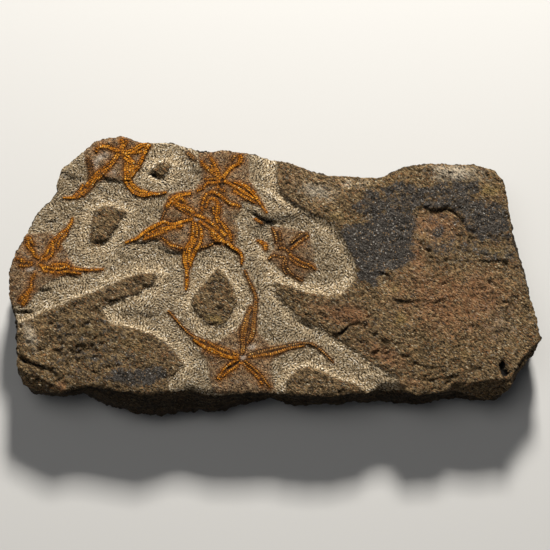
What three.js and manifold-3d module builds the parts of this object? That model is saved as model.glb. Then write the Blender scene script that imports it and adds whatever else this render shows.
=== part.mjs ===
// A broken slab of sandstone with six fossil brittle stars on its face, lying on its
// flat underside with the fossils up. Millimetres, +Z up. The origin is on the
// underside, in the middle of the footprint, and X runs along the slab.

import * as THREE from 'three';
import { mergeVertices } from 'three/addons/utils/BufferGeometryUtils.js';
import Module from 'manifold-3d';

const wasm = await Module();
wasm.setup();

// ---- Driving dimensions ----------------------------------------------------------

const faceHeight = 34; // the fossil face above the underside, before its relief
const gridStep = 7.5; // spacing of the points that the face is modelled on
const preparedDepth = 2; // stone taken away round the stars by the preparator
const preparedSlope = 5; // width of the slope down to the prepared ground
const knobSlope = 2.2; // how steeply a knob rises, per share of its half-size
const knobReach = 1.1; // where a knob's slope starts, as a share of its half-size
const edgeBow = 1.2; // how far the broken sides bulge past the face's edge
const cornerWander = 0.4; // how far a corner of the break strays in and out
const wanderTurn = 2.4; // radians from one corner's stray to the next
const underDepth = 10; // how far the block under the face runs on below the slab
const bedDepth = 1.2; // how deep a star is set in the stone
const starRelief = 0.9; // how far the ridge of an arm stands proud
const shoulder = 0.45; // height of an arm's plates at their outer ends
const shoulderShare = 0.85; // where those ends lie, as a share of the arm's half-width
const fitGap = 0.3; // clear gap between a fossil and the stone round it
const openAbove = 5; // the beds are cut this far above the face
const mouthRadius = 2.2; // the ring of jaws where a star's arms meet

// ---- The slab's outline and relief -----------------------------------------------

// The edge of the fossil face, anticlockwise from the near left corner.
const faceEdge = [
  [-138, -62], [-129, -65.5], [-116, -67], [-105, -63.5], [-95, -61], [-84, -62],
  [-70, -62.5], [-58, -60], [-46, -58], [-32, -62], [-23, -64], [-9, -65.5],
  [8, -66], [31, -68], [50, -64.5], [58, -62], [67, -62], [76, -66],
  [99, -65], [117, -70], [128, -65.5], [131, -58], [138, -50], [146, -38],
  [144, -28], [140, -14], [136, 4], [131, 16], [130.5, 29], [127, 49],
  [122, 56], [111, 59], [89, 59.5], [73, 58.5], [58, 52], [37, 52.5],
  [26, 54], [9, 60], [-3, 62.5], [-15, 66], [-28, 67.5], [-40, 66],
  [-49, 69.5], [-60, 71.5], [-73, 72], [-85, 75], [-99, 73], [-106, 67],
  [-118, 57], [-121, 49], [-120, 44], [-131, 32], [-137, 21], [-142, 11],
  [-146, 0], [-146, -14], [-141, -29], [-141, -52],
];

// The front side broke outward: [x, how far its foot stands out past the face's edge].
const frontFoot = [
  [-150, 0], [-107, 0], [-93, 9], [-79, 12], [-55, 15.5], [-36, 14], [-26, 9], [-14, 4],
  [-3, 1], [12, 5], [28, 2], [64, 6], [86, 4], [102, 0.5], [150, 0],
];

// The sides, as levels: height, how far in from the edge, and the share of each bulge.
const sideLevels = [
  { z: 0, inset: 2.4, bow: 0, front: 0.25 },
  { z: 3, inset: 0.6, bow: 0.5, front: 0.6 },
  { z: 13, inset: 0, bow: 1, front: 1 },
  { z: 25, inset: 0, bow: 0.8, front: 0.55 },
  { z: 31, inset: 0, bow: 0.2, front: 0.1 },
  { z: 42, inset: 0, bow: 0, front: 0 },
];

// The ground that was scraped down round the stars. It runs on past the slab's edge.
const preparedGround = [
  [0, 80], [2, 47], [9, 39], [19, 33], [33, 26], [45, 3], [44, -5], [38, -12],
  [17, -12], [0, -6], [1, -12], [12, -24], [29, -34], [55, -52], [67, -58], [73, -80],
  [-56, -80], [-57, -58], [-50, -52], [-65, -36], [-90, -29], [-96, -21], [-77, -13],
  [-64, -2], [-84, -5], [-110, -15], [-155, -31], [-155, 80],
];

// Knobs of stone left standing in it: centre, half-sizes along X and Y, turn in degrees.
const knobs = [
  { at: [-92, 26], half: [12, 7.5], turn: 55 },
  { at: [-63, 56.5], half: [7, 4], turn: 30 },
  { at: [-33.5, -14.5], half: [10, 15], turn: 10 },
  { at: [25, -61], half: [21, 8], turn: 0 },
];

function smoothStep(value) {
  const t = THREE.MathUtils.clamp(value, 0, 1);
  return t * t * (3 - 2 * t);
}

// Distance from a point to a closed outline, positive inside it.
function depthInside(outline, x, y) {
  let nearest = Infinity;
  let inside = false;
  outline.forEach(([bx, by], i) => {
    const [ax, ay] = outline.at(i - 1);
    const span = (bx - ax) ** 2 + (by - ay) ** 2;
    const along = THREE.MathUtils.clamp(((x - ax) * (bx - ax) + (y - ay) * (by - ay)) / span, 0, 1);
    nearest = Math.min(nearest, Math.hypot(ax + along * (bx - ax) - x, ay + along * (by - ay) - y));
    const crosses = (ay > y) !== (by > y);
    if (crosses && x < ax + ((y - ay) / (by - ay)) * (bx - ax)) inside = !inside;
  });
  return inside ? nearest : -nearest;
}

function knobShare(x, y) {
  return Math.max(...knobs.map(({ at, half, turn }) => {
    const offset = new THREE.Vector2(x - at[0], y - at[1]);
    offset.rotateAround(new THREE.Vector2(), -THREE.MathUtils.degToRad(turn));
    return smoothStep(knobSlope * (knobReach - Math.hypot(offset.x / half[0], offset.y / half[1])));
  }));
}

// Height of the face: two long low swells, less the prepared ground.
function faceAt(x, y) {
  const broadSwell = 0.8 * Math.sin(x / 41 + 0.6) * Math.cos(y / 33 - 0.4);
  const slantSwell = 0.5 * Math.sin((x + 2 * y) / 29);
  const scraped = smoothStep(depthInside(preparedGround, x, y) / preparedSlope + 0.5);
  const takenAway = preparedDepth * scraped * (1 - knobShare(x, y));
  return faceHeight + broadSwell + slantSwell - takenAway;
}

// ---- Making solids ---------------------------------------------------------------

// A geometry that holds nothing but positions, as a solid.
function solidOf(geometry) {
  const merged = mergeVertices(geometry);
  return new wasm.Manifold(new wasm.Mesh({
    numProp: 3,
    vertProperties: new Float32Array(merged.attributes.position.array),
    triVerts: new Uint32Array(merged.index.array),
  }));
}

// A closed solid from its corner points and the polygons between them.
function solid(points, polygons) {
  const corners = polygons.flatMap((polygon) => (
    polygon.slice(2).flatMap((corner, i) => [polygon[0], polygon[i + 1], corner])
  ));
  const geometry = new THREE.BufferGeometry();
  geometry.setAttribute('position', new THREE.Float32BufferAttribute(points.flat(), 3));
  geometry.setIndex(corners);
  return solidOf(geometry);
}

// A solid through a stack of rings with the same number of points, anticlockwise as
// seen against the way the stack runs. Each end is closed by the triangles given.
function throughRings(rings, endTriangles) {
  const count = rings[0].length;
  const last = (rings.length - 1) * count;
  const sides = rings.slice(1).flatMap((_, level) => rings[0].map((__, i) => {
    const next = (i + 1) % count;
    const low = level * count;
    return [low + i, low + next, low + count + next, low + count + i];
  }));
  const start = endTriangles.map(([a, b, c]) => [c, b, a]);
  const end = endTriangles.map((triangle) => triangle.map((corner) => corner + last));
  return solid(rings.flat(), [...start, ...sides, ...end]);
}

// ---- The stone -------------------------------------------------------------------

// Outward direction of the face's edge at one of its corners.
function outwardAt(i) {
  const [ax, ay] = faceEdge.at(i - 1);
  const [bx, by] = faceEdge[(i + 1) % faceEdge.length];
  return new THREE.Vector2(by - ay, ax - bx).normalize();
}

// How far the front side's foot stands out at a place along X.
function footAt(x) {
  const next = frontFoot.findIndex(([at]) => at > x);
  const [[ax, aOut], [bx, bOut]] = [frontFoot[next - 1], frontFoot[next]];
  return THREE.MathUtils.lerp(aOut, bOut, (x - ax) / (bx - ax));
}

// One level of the broken sides. The corners of the break wander a little.
function sideRing({ z, inset, bow, front }) {
  return faceEdge.map(([x, y], i) => {
    const out = outwardAt(i);
    const wander = cornerWander * bow * Math.sin(i * wanderTurn + z);
    const reach = bow * edgeBow + wander - inset;
    const frontReach = front * footAt(x) * Math.max(0, -out.y);
    return [x + out.x * reach, y + out.y * reach - frontReach, z];
  });
}

function stoneSides() {
  const outline = faceEdge.map(([x, y]) => new THREE.Vector2(x, y));
  return throughRings(sideLevels.map(sideRing), THREE.ShapeUtils.triangulateShape(outline, []));
}

// Everything under the face, out past the slab's edge on all sides.
function underFace() {
  const reach = { x: 156, y: 84 };
  const columns = Math.round((2 * reach.x) / gridStep);
  const rows = Math.round((2 * reach.y) / gridStep);
  const index = (i, j) => j * (columns + 1) + i;
  const top = [];
  for (let j = 0; j <= rows; j += 1) {
    for (let i = 0; i <= columns; i += 1) {
      const x = -reach.x + (2 * reach.x * i) / columns;
      const y = -reach.y + (2 * reach.y * j) / rows;
      top.push([x, y, faceAt(x, y)]);
    }
  }
  const cells = [];
  for (let j = 0; j < rows; j += 1) {
    for (let i = 0; i < columns; i += 1) {
      cells.push([index(i, j), index(i + 1, j), index(i + 1, j + 1), index(i, j + 1)]);
    }
  }
  const rim = [];
  for (let i = 0; i < columns; i += 1) rim.push(index(i, 0));
  for (let j = 0; j < rows; j += 1) rim.push(index(columns, j));
  for (let i = columns; i > 0; i -= 1) rim.push(index(i, rows));
  for (let j = rows; j > 0; j -= 1) rim.push(index(0, j));
  const foot = rim.map((corner) => [top[corner][0], top[corner][1], -underDepth]);
  const centre = top.length + foot.length;
  const skirt = rim.flatMap((corner, i) => {
    const next = (i + 1) % rim.length;
    return [
      [top.length + i, top.length + next, rim[next], corner],
      [centre, top.length + next, top.length + i],
    ];
  });
  return solid([...top, ...foot, [0, 0, -underDepth]], [...cells, ...skirt]);
}

// ---- The brittle stars -----------------------------------------------------------

// Each arm runs from the mouth to its tip through [x, y, half-width]. A strand is a
// single row of plates along the edge of the disc, between two arms.
const stars = {
  brittle_star_top_left: {
    arms: [
      [[-85.5, 66.4, 1.1], [-84.4, 70, 1.6], [-84, 72.4, 1.6]],
      [[-85.5, 66.4, 1.1], [-80.8, 66.3, 1.5], [-77.5, 67.2, 2], [-74, 68.6, 2.2], [-71, 69, 1.7]],
      [[-85.5, 66.4, 1], [-82.6, 62.5, 1.5], [-80.9, 58.8, 2.5], [-80.8, 54.6, 2.4],
        [-81.6, 50.8, 1.8], [-80, 47.8, 1.9], [-77, 44.8, 1.9], [-73, 43.1, 1.5],
        [-68.2, 43.2, 1.1], [-60.6, 43.8, 0.7]],
      [[-85.5, 66.4, 1], [-88.5, 62.8, 1.1], [-91, 59.2, 1.3], [-94.6, 55.8, 1.6],
        [-99.3, 52.4, 2.2], [-103, 48.6, 2.3], [-106, 45, 1.8], [-109.3, 42.2, 1.2], [-116.4, 41, 0.7]],
      [[-85.5, 66.4, 1], [-89.5, 67.8, 1.2], [-94.8, 69.6, 1.2], [-98.8, 68.2, 1.1],
        [-102.6, 65.6, 1.1], [-103.8, 62.4, 1.2], [-102.6, 58, 1.3], [-101.8, 52.6, 1.2]],
    ],
    strands: [[[-71.8, 68, 1.1], [-73.3, 62.8, 1.1], [-75.8, 58.1, 1.2], [-79.4, 54, 1.2]]],
  },
  brittle_star_left_edge: {
    arms: [
      [[-131, 5, 0.9], [-132, 8.4, 1.2], [-133.8, 11.8, 1.7], [-135.2, 16.4, 1.7]],
      [[-131, 5, 0.9], [-126.2, 8.6, 1.7], [-123.4, 12.4, 2.1], [-121.4, 16.4, 2.4],
        [-118.4, 20, 2], [-115, 23.8, 1.3], [-112.4, 28.6, 0.8]],
      [[-131, 5, 0.9], [-127, 2, 1.6], [-122.2, 1.1, 2.4], [-117.6, 1.4, 2.6], [-113.4, 0.9, 2],
        [-108.8, 0.4, 1.4], [-103, 0.6, 0.8], [-95.4, 1.1, 0.7]],
      [[-131, 5, 0.9], [-131.9, 0.8, 1.3], [-132.9, -4, 1.4], [-134.3, -9.4, 1.8], [-138.4, -16, 2.1]],
      [[-131, 5, 0.9], [-135.6, 4.9, 1.5], [-140.6, 5.1, 1.8]],
    ],
    strands: [],
  },
  brittle_star_top_middle: {
    arms: [
      [[-29, 51, 0.9], [-31.6, 54.2, 1.5], [-34.4, 57.6, 2], [-37.4, 61.6, 1.9]],
      [[-29, 51, 0.9], [-26.6, 55, 1.3], [-23.2, 58.4, 1.5], [-19.8, 62.4, 1.8]],
      [[-29, 51, 1.1], [-24.4, 48.9, 1.8], [-20.2, 46.6, 2.7], [-15.8, 44, 2.9],
        [-12.2, 41.2, 2.3], [-8.6, 37.2, 1.2], [-4.6, 32.7, 0.7]],
      [[-29, 51, 1.1], [-33.4, 50.3, 1.7], [-37.2, 49.6, 1.5], [-39.6, 46.9, 1]],
      [[-29, 51, 1.1], [-30.3, 48.4, 1.3], [-30.1, 45.9, 1.1]],
    ],
    strands: [],
  },
  brittle_star_centre: {
    arms: [
      [[-44.4, 29.1, 1], [-48.8, 27.9, 1.4], [-53.6, 26, 2], [-58.4, 24.9, 2.6], [-64.2, 23.6, 3],
        [-69.2, 21.3, 2.4], [-74.4, 18.4, 1.2], [-82, 16, 0.6]],
      [[-44.4, 29.1, 1.1], [-42.8, 24.6, 2.2], [-42.9, 19.6, 3.1], [-44.8, 14.2, 3.4],
        [-47, 8.2, 3.1], [-48.2, 2.6, 1.7], [-48.4, -2.2, 1], [-48.7, -8.8, 0.7]],
      [[-44.4, 29.1, 1.1], [-39.8, 27.9, 1.8], [-35.2, 24.4, 2.6], [-30, 19.9, 3.5],
        [-25.8, 16.2, 2.5], [-21.6, 12.2, 1.3], [-18.3, 6.6, 0.8]],
      [[-44.4, 29.1, 1.1], [-48.3, 32.9, 1.7], [-53, 36.5, 2.3], [-55.3, 39.8, 1.9],
        [-52, 42.5, 1.5], [-47.2, 43.1, 0.8]],
      [[-44.4, 29.1, 1.1], [-42, 32.8, 1.7], [-39.3, 36.7, 2.2], [-37.4, 40.2, 2], [-34.3, 41.9, 1.8],
        [-31, 41.4, 1.7], [-27.8, 39.2, 1.5], [-24, 37.1, 1.2], [-20, 36.1, 0.8]],
    ],
    strands: [
      [[-33.2, 40.4, 1.5], [-31.3, 37.3, 1.6], [-31, 33.4, 1.7], [-31.8, 29.4, 1.5], [-31.5, 24.8, 1.4]],
      [[-30, 26.4, 1.1], [-26.8, 24, 1.3], [-24.6, 20.4, 1.4], [-24.2, 16, 1.2]],
      [[-63.4, 21.6, 0.9], [-61.2, 17.8, 0.9], [-57.6, 14.8, 1], [-52.2, 13.1, 1], [-47, 12.4, 1]],
      [[-44, 12.2, 0.9], [-38.4, 13.4, 0.9], [-35, 14.9, 0.9], [-31.2, 17.8, 1]],
      [[-61.8, 25.6, 0.8], [-62, 31, 0.8], [-60.2, 35.2, 0.9], [-56.6, 38.3, 1.1]],
    ],
  },
  brittle_star_right: {
    arms: [
      [[7.5, 11, 1.1], [4.1, 13.2, 1.5], [2.2, 17.2, 1.9], [1.4, 21, 1.7], [-0.6, 24.3, 0.9]],
      [[7.5, 11, 1.1], [10.6, 14.4, 1.6], [14, 17.8, 1.9], [18, 20.4, 1.5]],
      [[7.5, 11, 1.1], [10.4, 7.4, 1.8], [14.2, 4.8, 2.1], [18.2, 3.2, 1.8], [22.2, 1.2, 0.8]],
      [[7.5, 11, 1.1], [5.7, 6.6, 1.4], [6, 2.6, 1.5], [8.6, -0.8, 1.1], [14.8, -5.1, 0.7]],
      [[7.5, 11, 1.1], [3, 8.3, 1.1], [-2.6, 7.7, 0.9]],
    ],
    strands: [],
  },
  brittle_star_bottom: {
    arms: [
      [[-17.6, -47.7, 1], [-17.1, -43, 2], [-16.4, -38, 2.8], [-15.1, -32.6, 3.4], [-14.1, -27, 3.3],
        [-12.2, -20.8, 2.3], [-10.6, -15.1, 1.2], [-13.1, -7.9, 0.8], [-16.2, -0.3, 0.7]],
      [[-17.6, -47.7, 1], [-23, -46.6, 2.1], [-29.4, -44.5, 2.7], [-35.6, -41.7, 2.5],
        [-42, -38.3, 1.7], [-48.2, -33.5, 0.9], [-58, -22.6, 0.6]],
      [[-17.6, -47.7, 1], [-11.8, -46.2, 1.8], [-5.4, -45, 2.1], [1, -43.6, 2.2], [7.4, -41.9, 1.7],
        [13.6, -40.8, 1.2], [20.4, -40.3, 0.9], [31.8, -49.7, 0.6]],
      [[-17.6, -47.7, 1], [-21.3, -50.9, 1.4], [-25.2, -54.2, 1.9], [-28.7, -57.4, 1.9]],
      [[-17.6, -47.7, 1], [-14.3, -52.3, 1.4], [-10.7, -55.9, 1.8], [-7, -60.1, 1.8]],
    ],
    strands: [],
  },
};

// Short lengths of arm that came apart from the stars before they were buried.
const looseArms = {
  arm_fragment_top: [[-48, 65.8, 1.2], [-44.3, 62.5, 1.2]],
  arm_fragment_upper: [[-10.9, 29.4, 0.8], [-7, 26.8, 0.9]],
  arm_fragment_right: [[-8.9, 16.5, 1.1], [-6.6, 15.3, 1.5], [-4.9, 13.3, 1.4], [-5.4, 11.5, 1]],
};

// Section of an arm across its length, as [half-widths out, height above the face].
function armSection(halfWidth, grow) {
  const out = halfWidth + grow;
  const low = -bedDepth - grow;
  if (grow > 0) return [[-out, low], [out, low], [out, openAbove], [-out, openAbove]];
  const shoulderOut = shoulderShare * out;
  return [[-out, low], [out, low], [shoulderOut, shoulder], [0, starRelief], [-shoulderOut, shoulder]];
}

// An arm lies along the face. A bed is the same shape, wider and open above.
function arm(stations, grow = 0) {
  const section = armSection(1, grow);
  const count = section.length;
  const rings = stations.map(([x, y, halfWidth], i) => {
    const [ax, ay] = stations[Math.max(i - 1, 0)];
    const [bx, by] = stations[Math.min(i + 1, stations.length - 1)];
    const along = new THREE.Vector2(bx - ax, by - ay).normalize();
    const atEnd = i === stations.length - 1 ? grow : 0;
    return armSection(halfWidth, grow).map(([side, up]) => [
      x - along.y * side + along.x * atEnd,
      y + along.x * side + along.y * atEnd,
      faceAt(x, y) + up,
    ]);
  });
  const fan = Array.from({ length: count - 2 }, (_, i) => [0, i + 1, i + 2]);
  return throughRings(rings, fan);
}

// The ring of jaws, a low six-sided boss under the ends of the arms.
function mouth([x, y], grow = 0) {
  const height = starRelief + bedDepth + (grow > 0 ? openAbove : 0) + grow;
  const boss = new THREE.CylinderGeometry(mouthRadius + grow, mouthRadius + grow, height, 6);
  boss.rotateX(Math.PI / 2);
  boss.translate(x, y, faceAt(x, y) - bedDepth - grow + height / 2);
  boss.deleteAttribute('normal');
  boss.deleteAttribute('uv');
  return solidOf(boss);
}

function star({ arms, strands }, grow = 0) {
  const pieces = [...arms, ...strands].map((stations) => arm(stations, grow));
  return pieces.reduce((whole, piece) => whole.add(piece), mouth(arms[0][0], grow));
}

// A bed's ends also need the gap behind an arm's first point.
function looseArmBed(stations) {
  const [[ax, ay, halfWidth], [bx, by]] = stations;
  const back = fitGap / Math.hypot(bx - ax, by - ay);
  const start = [ax - (bx - ax) * back, ay - (by - ay) * back, halfWidth];
  return arm([start, ...stations.slice(1)], fitGap);
}

// ---- Putting the object together -------------------------------------------------

const stoneFinish = new THREE.MeshStandardMaterial({ color: 0x8f7f66, roughness: 0.92, metalness: 0 });
const fossilFinish = new THREE.MeshStandardMaterial({ color: 0xb56b1c, roughness: 0.75, metalness: 0 });

function meshOf(name, whole, material) {
  const { vertProperties, triVerts } = whole.getMesh();
  const geometry = new THREE.BufferGeometry();
  geometry.setAttribute('position', new THREE.BufferAttribute(vertProperties, 3));
  geometry.setIndex(new THREE.BufferAttribute(triVerts, 1));
  geometry.computeVertexNormals();
  const mesh = new THREE.Mesh(geometry, material);
  mesh.name = name;
  return mesh;
}

const fossilSlab = new THREE.Group();

const beds = [
  ...Object.values(stars).map((shape) => star(shape, fitGap)),
  ...Object.values(looseArms).map(looseArmBed),
];
const stone = beds.reduce((block, bed) => block.subtract(bed), stoneSides().intersect(underFace()));
fossilSlab.add(meshOf('stone_slab', stone, stoneFinish));

for (const [name, shape] of Object.entries(stars)) {
  fossilSlab.add(meshOf(name, star(shape), fossilFinish));
}
for (const [name, stations] of Object.entries(looseArms)) {
  fossilSlab.add(meshOf(name, arm(stations), fossilFinish));
}

export default fossilSlab;
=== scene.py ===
import math

import bmesh
import bpy
import numpy as np
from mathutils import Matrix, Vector, noise


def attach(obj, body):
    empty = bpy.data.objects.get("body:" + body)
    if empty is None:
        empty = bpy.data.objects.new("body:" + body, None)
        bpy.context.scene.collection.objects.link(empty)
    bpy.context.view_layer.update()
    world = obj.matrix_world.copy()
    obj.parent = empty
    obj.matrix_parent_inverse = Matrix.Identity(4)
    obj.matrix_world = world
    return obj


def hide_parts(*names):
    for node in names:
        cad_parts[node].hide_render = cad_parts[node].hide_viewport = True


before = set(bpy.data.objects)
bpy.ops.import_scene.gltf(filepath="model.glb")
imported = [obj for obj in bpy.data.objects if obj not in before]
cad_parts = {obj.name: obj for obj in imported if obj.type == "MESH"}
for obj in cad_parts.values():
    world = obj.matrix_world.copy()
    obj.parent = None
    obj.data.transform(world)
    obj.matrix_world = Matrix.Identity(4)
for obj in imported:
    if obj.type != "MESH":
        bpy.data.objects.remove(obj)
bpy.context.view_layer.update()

MM = 0.001

# ---- The sandstone slab: its broken outline ----------------------------------------
# One block of brown sandstone, split along its bedding above and below and broken
# through on all four sides. The frame's slab, cut level below the beds, gives its edge.
CUT_HEIGHT = 27.0
CUT_BULGE = 0.6
SAME_CORNER = 0.002
ON_THE_CUT = 1e-7
slab_corners = {"front left": (-138, -62), "front right": (128, -65), "back right": (122, 56),
                "back left": (-118, 57)}


def level_ring(node, level):
    """The ring of points where a level cut through a node's mesh meets it, in mm."""
    sliced = bmesh.new()
    sliced.from_mesh(node.data)
    bmesh.ops.transform(sliced, matrix=node.matrix_world, verts=sliced.verts)
    bmesh.ops.remove_doubles(sliced, verts=sliced.verts, dist=SAME_CORNER * MM)
    parts = sliced.verts[:] + sliced.edges[:] + sliced.faces[:]
    plane = {"plane_co": (0, 0, level * MM), "plane_no": (0, 0, 1)}
    cut = bmesh.ops.bisect_plane(sliced, geom=parts, dist=ON_THE_CUT, **plane)["geom_cut"]
    joined = {}
    for piece in cut:
        if isinstance(piece, bmesh.types.BMEdge):
            a, b = piece.verts
            joined.setdefault(a, []).append(b)
            joined.setdefault(b, []).append(a)
    start = min(joined, key=lambda corner: corner.co.x)
    ring, ahead = [start], joined[start][0]
    while ahead is not start:
        ring.append(ahead)
        ahead = next(corner for corner in joined[ahead] if corner is not ring[-2])
    places = np.array([corner.co[:2] for corner in ring]) / MM
    sliced.free()
    x, y = places.T
    turns_left = np.sum(x * np.roll(y, -1) - np.roll(x, -1) * y) > 0
    return places if turns_left else places[::-1]


def outward(run):
    """The outward directions, 1 long, of a line that runs anticlockwise."""
    return np.stack([run[:, 1], -run[:, 0]], axis=-1) / np.linalg.norm(run, axis=1)[:, None]


edge = level_ring(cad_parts["stone_slab"], CUT_HEIGHT)
edge -= CUT_BULGE * outward(np.roll(edge, -1, axis=0) - np.roll(edge, 1, axis=0))
corner_at = {name: int(np.argmin(np.linalg.norm(edge - at, axis=1)))
             for name, at in slab_corners.items()}


def edge_between(start, end):
    """The part of the edge from one corner of the slab round to the next."""
    first, last = corner_at[start], corner_at[end]
    return edge[np.arange(first, last + 1 if last > first else last + len(edge) + 1) % len(edge)]


front_edge = edge_between("front left", "front right")
right_edge = edge_between("front right", "back right")
back_edge = edge_between("back right", "back left")[::-1]
left_edge = edge_between("back left", "front left")[::-1]


def curved(points, steps=8):
    """A smooth line through listed points, with the given steps between each two."""
    line = np.array(points, float)
    ends = np.concatenate([2 * line[:1] - line[1:2], line, 2 * line[-1:] - line[-2:-1]])
    p0, p1, p2, p3 = (ends[k:len(ends) - 3 + k, None] for k in range(4))
    t = np.linspace(0, 1, steps, endpoint=False)[None, :, None]
    spans = 0.5 * (2 * p1 + (p2 - p0) * t + (2 * p0 - 5 * p1 + 4 * p2 - p3) * t ** 2
                   + (3 * p1 - p0 - 3 * p2 + p3) * t ** 3)
    return np.concatenate([spans.reshape(-1, line.shape[1]), line[-1:]])


def spread(line, shares):
    """The points at the given shares of a line's length."""
    steps = np.linalg.norm(np.diff(line[:, :2], axis=0), axis=1)
    length = np.concatenate([[0], np.cumsum(steps)])
    columns = [np.interp(shares, length / length[-1], line[:, k]) for k in range(line.shape[1])]
    return np.stack(columns, axis=-1)


# Unevenness adds finer and finer layers: how much weaker and how much finer each one is.
WEAKER, FINER = 0.8, 2.0


def rough(points, size, octaves=3, seed=0.0):
    """Natural unevenness at each point, about -1 to 1, with features of the given size."""
    scaled = np.asarray(points, float) / size
    if scaled.shape[-1] == 2:
        scaled = np.concatenate([scaled, np.full(scaled.shape[:-1] + (1,), seed)], axis=-1)
    flat = scaled.reshape(-1, 3) + seed
    values = [noise.fractal(Vector(at), WEAKER, FINER, octaves) for at in flat.tolist()]
    return np.array(values).reshape(scaled.shape[:-1])


# The face is laid out as a sheet stretched between its four edges, finer at the left,
# where the fossils are. It is the frame that the sides and the underside hang from.
FACE_COLUMNS, FACE_ROWS = 400, 190
FINER_LEFT = 0.18
share = np.linspace(0, 1, FACE_COLUMNS + 1)
across = share * (1 - FINER_LEFT + FINER_LEFT * share)
up = np.linspace(0, 1, FACE_ROWS + 1)
# Nibbles along the arris: how deep in mm, how long in mm, and their seed.
nibbles = [(0.55, 4.0, 0.0), (0.3, 1.3, 5.0)]
HELD_AT_ENDS = 6


def ragged(line):
    """The same line, nibbled in and out as a broken arris is, and left alone at its ends."""
    amount = sum(deep * rough(line, long, seed=seed) for deep, long, seed in nibbles)
    from_end = np.minimum(np.arange(len(line)), np.arange(len(line))[::-1])
    hold = np.minimum(1, from_end / HELD_AT_ENDS)
    return line + outward(np.gradient(line, axis=0)) * (amount * hold)[:, None]


front = ragged(spread(curved(front_edge), across))
back = ragged(spread(curved(back_edge), across))
left = ragged(spread(curved(left_edge), up))
right = ragged(spread(curved(right_edge), up))


def stretched(low, high, near, far, u, v):
    """A sheet between four edges: low and high run along u, near and far along v."""
    u, v = u[None, :, None], v[:, None, None]
    sheet = (1 - v) * low[None] + v * high[None] + (1 - u) * near[:, None] + u * far[:, None]
    corners = ((1 - u) * (1 - v) * low[0] + u * (1 - v) * low[-1]
               + (1 - u) * v * high[0] + u * v * high[-1])
    return sheet - corners


face = stretched(front, back, left, right, across, up)

# ---- The sandstone slab: the relief of its face -------------------------------------
# A preparator scraped the left part down round the fossils and left knobs of stone
# standing. The right part is the bedding surface as it split, with low ledges.
FACE_HEIGHT = 34.0
BROAD_SWELL = 0.8
SLANT_SWELL = 0.5
SCRAPED_DEPTH = 1.7
FAR_WALL_DEPTH = 0.8
WALL_PROBE = 1.2
OUTLINE_WANDER = 0.8
SKIN_THICKNESS = 0.7
ARM_HEIGHT, ARM_HEIGHT_OFF_SKIN = 0.25, 0.45
BOWL_DEPTH = 1.6
# What stands above this height is cut down by this share.
LEVELLING_OFF = 34.4
LEVELLED_SHARE = 0.65
# The grain of the stone: it turns and stretches the places of what lies along it.
ALONG_GRAIN = np.array([[0.8, -0.55], [0.5, 1.2]])
BED_STEPS = 3.5
BED_RELIEF = 0.7
HAIRLINE_DEPTH, HAIRLINE_BAND = 0.9, 0.07
NO_CRACK_SHADE = 9.0
# A ledge's riser is this wide and the step dies away over this reach. Under the riser it is
# cut back by a share of its drop.
LEDGE_RISER, LEDGE_REACH = 0.5, 5
UNDERCUT, UNDERCUT_WIDTH = 0.4, 0.7
FURROW_DEPTH = 0.7
FALL_WIDTH = 7
prepared_ground = [
    (0, 80), (1, 57), (2, 47), (9, 39), (19, 33), (33, 26), (39, 16), (45, 3), (44, -5), (38, -12),
    (30, -14), (17, -12), (5, -7), (0, -6), (1, -12), (12, -24), (21, -30), (29, -34), (42, -42),
    (55, -52), (67, -58), (73, -80), (-155, -80), (-155, 80),
]
standing_stone = {
    "front left": [
        (-160, -31), (-141, -29), (-129, -24), (-110, -15), (-98, -11), (-84, -5), (-75, -1),
        (-65, -1), (-67, -7), (-77, -13), (-91, -17), (-96, -21), (-90, -29), (-77, -32),
        (-65, -36), (-56, -43), (-50, -51), (-54, -56), (-58, -58), (-58, -80), (-160, -80),
    ],
    "knob": [
        (-100, 34), (-95, 36), (-88, 36), (-83, 33), (-86, 27), (-91, 19), (-96, 14), (-100, 14),
        (-102, 19),
    ],
    "small knob": [(-68, 57), (-65, 60), (-60, 61), (-57, 59), (-59, 55), (-63, 53), (-67, 54)],
    "kite": [
        (-31, 2), (-27, -3), (-23, -8), (-21, -17), (-23, -23), (-27, -28), (-32, -31), (-38, -28),
        (-42, -23), (-46, -18), (-44, -13), (-38, -6),
    ],
    "foot": [
        (6, -66), (7, -60), (11, -55), (19, -53), (28, -56), (36, -60), (45, -62), (50, -66),
        (46, -80), (8, -80),
    ],
}
# Skins of fine purple-brown matrix, left between the arms of each star.
disc_skins = [
    [(-106, 66), (-103, 72), (-98, 80), (-74, 80), (-69, 71), (-73, 62), (-77, 56), (-80, 51),
     (-86, 50), (-92, 52), (-97, 50), (-103, 50), (-104, 57)],
    [(-143, 14), (-138, 21), (-131, 21), (-124, 22), (-118, 16), (-114, 9), (-110, 2), (-108, -2),
     (-118, -3), (-126, -7), (-131, -12), (-135, -18), (-150, -20), (-150, 6)],
    [(-58, 43), (-50, 45), (-44, 46), (-41, 51), (-41, 57), (-43, 63), (-42, 75), (-15, 75),
     (-14, 57), (-14, 51), (-9, 43), (-5, 36), (-9, 36), (-13, 39), (-18, 38), (-19, 33),
     (-22, 30), (-20, 22), (-21, 14), (-28, 14), (-34, 14), (-41, 11), (-48, 9), (-55, 11),
     (-60, 13), (-65, 18), (-70, 18), (-74, 20), (-67, 25), (-62, 29), (-62, 36)],
    [(-2, 24), (5, 25), (13, 23), (19, 21), (21, 14), (22, 6), (24, 1), (18, -1), (15, -6),
     (8, -3), (3, 1), (-3, 7), (0, 14)],
    [(-30, -38), (-24, -34), (-18, -29), (-10, -28), (-9, -35), (-5, -38), (-3, -41), (6, -41),
     (4, -45), (-1, -49), (-2, -56), (2, -70), (-33, -68), (-36, -57), (-37, -50), (-41, -45),
     (-38, -41)],
]
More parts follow.
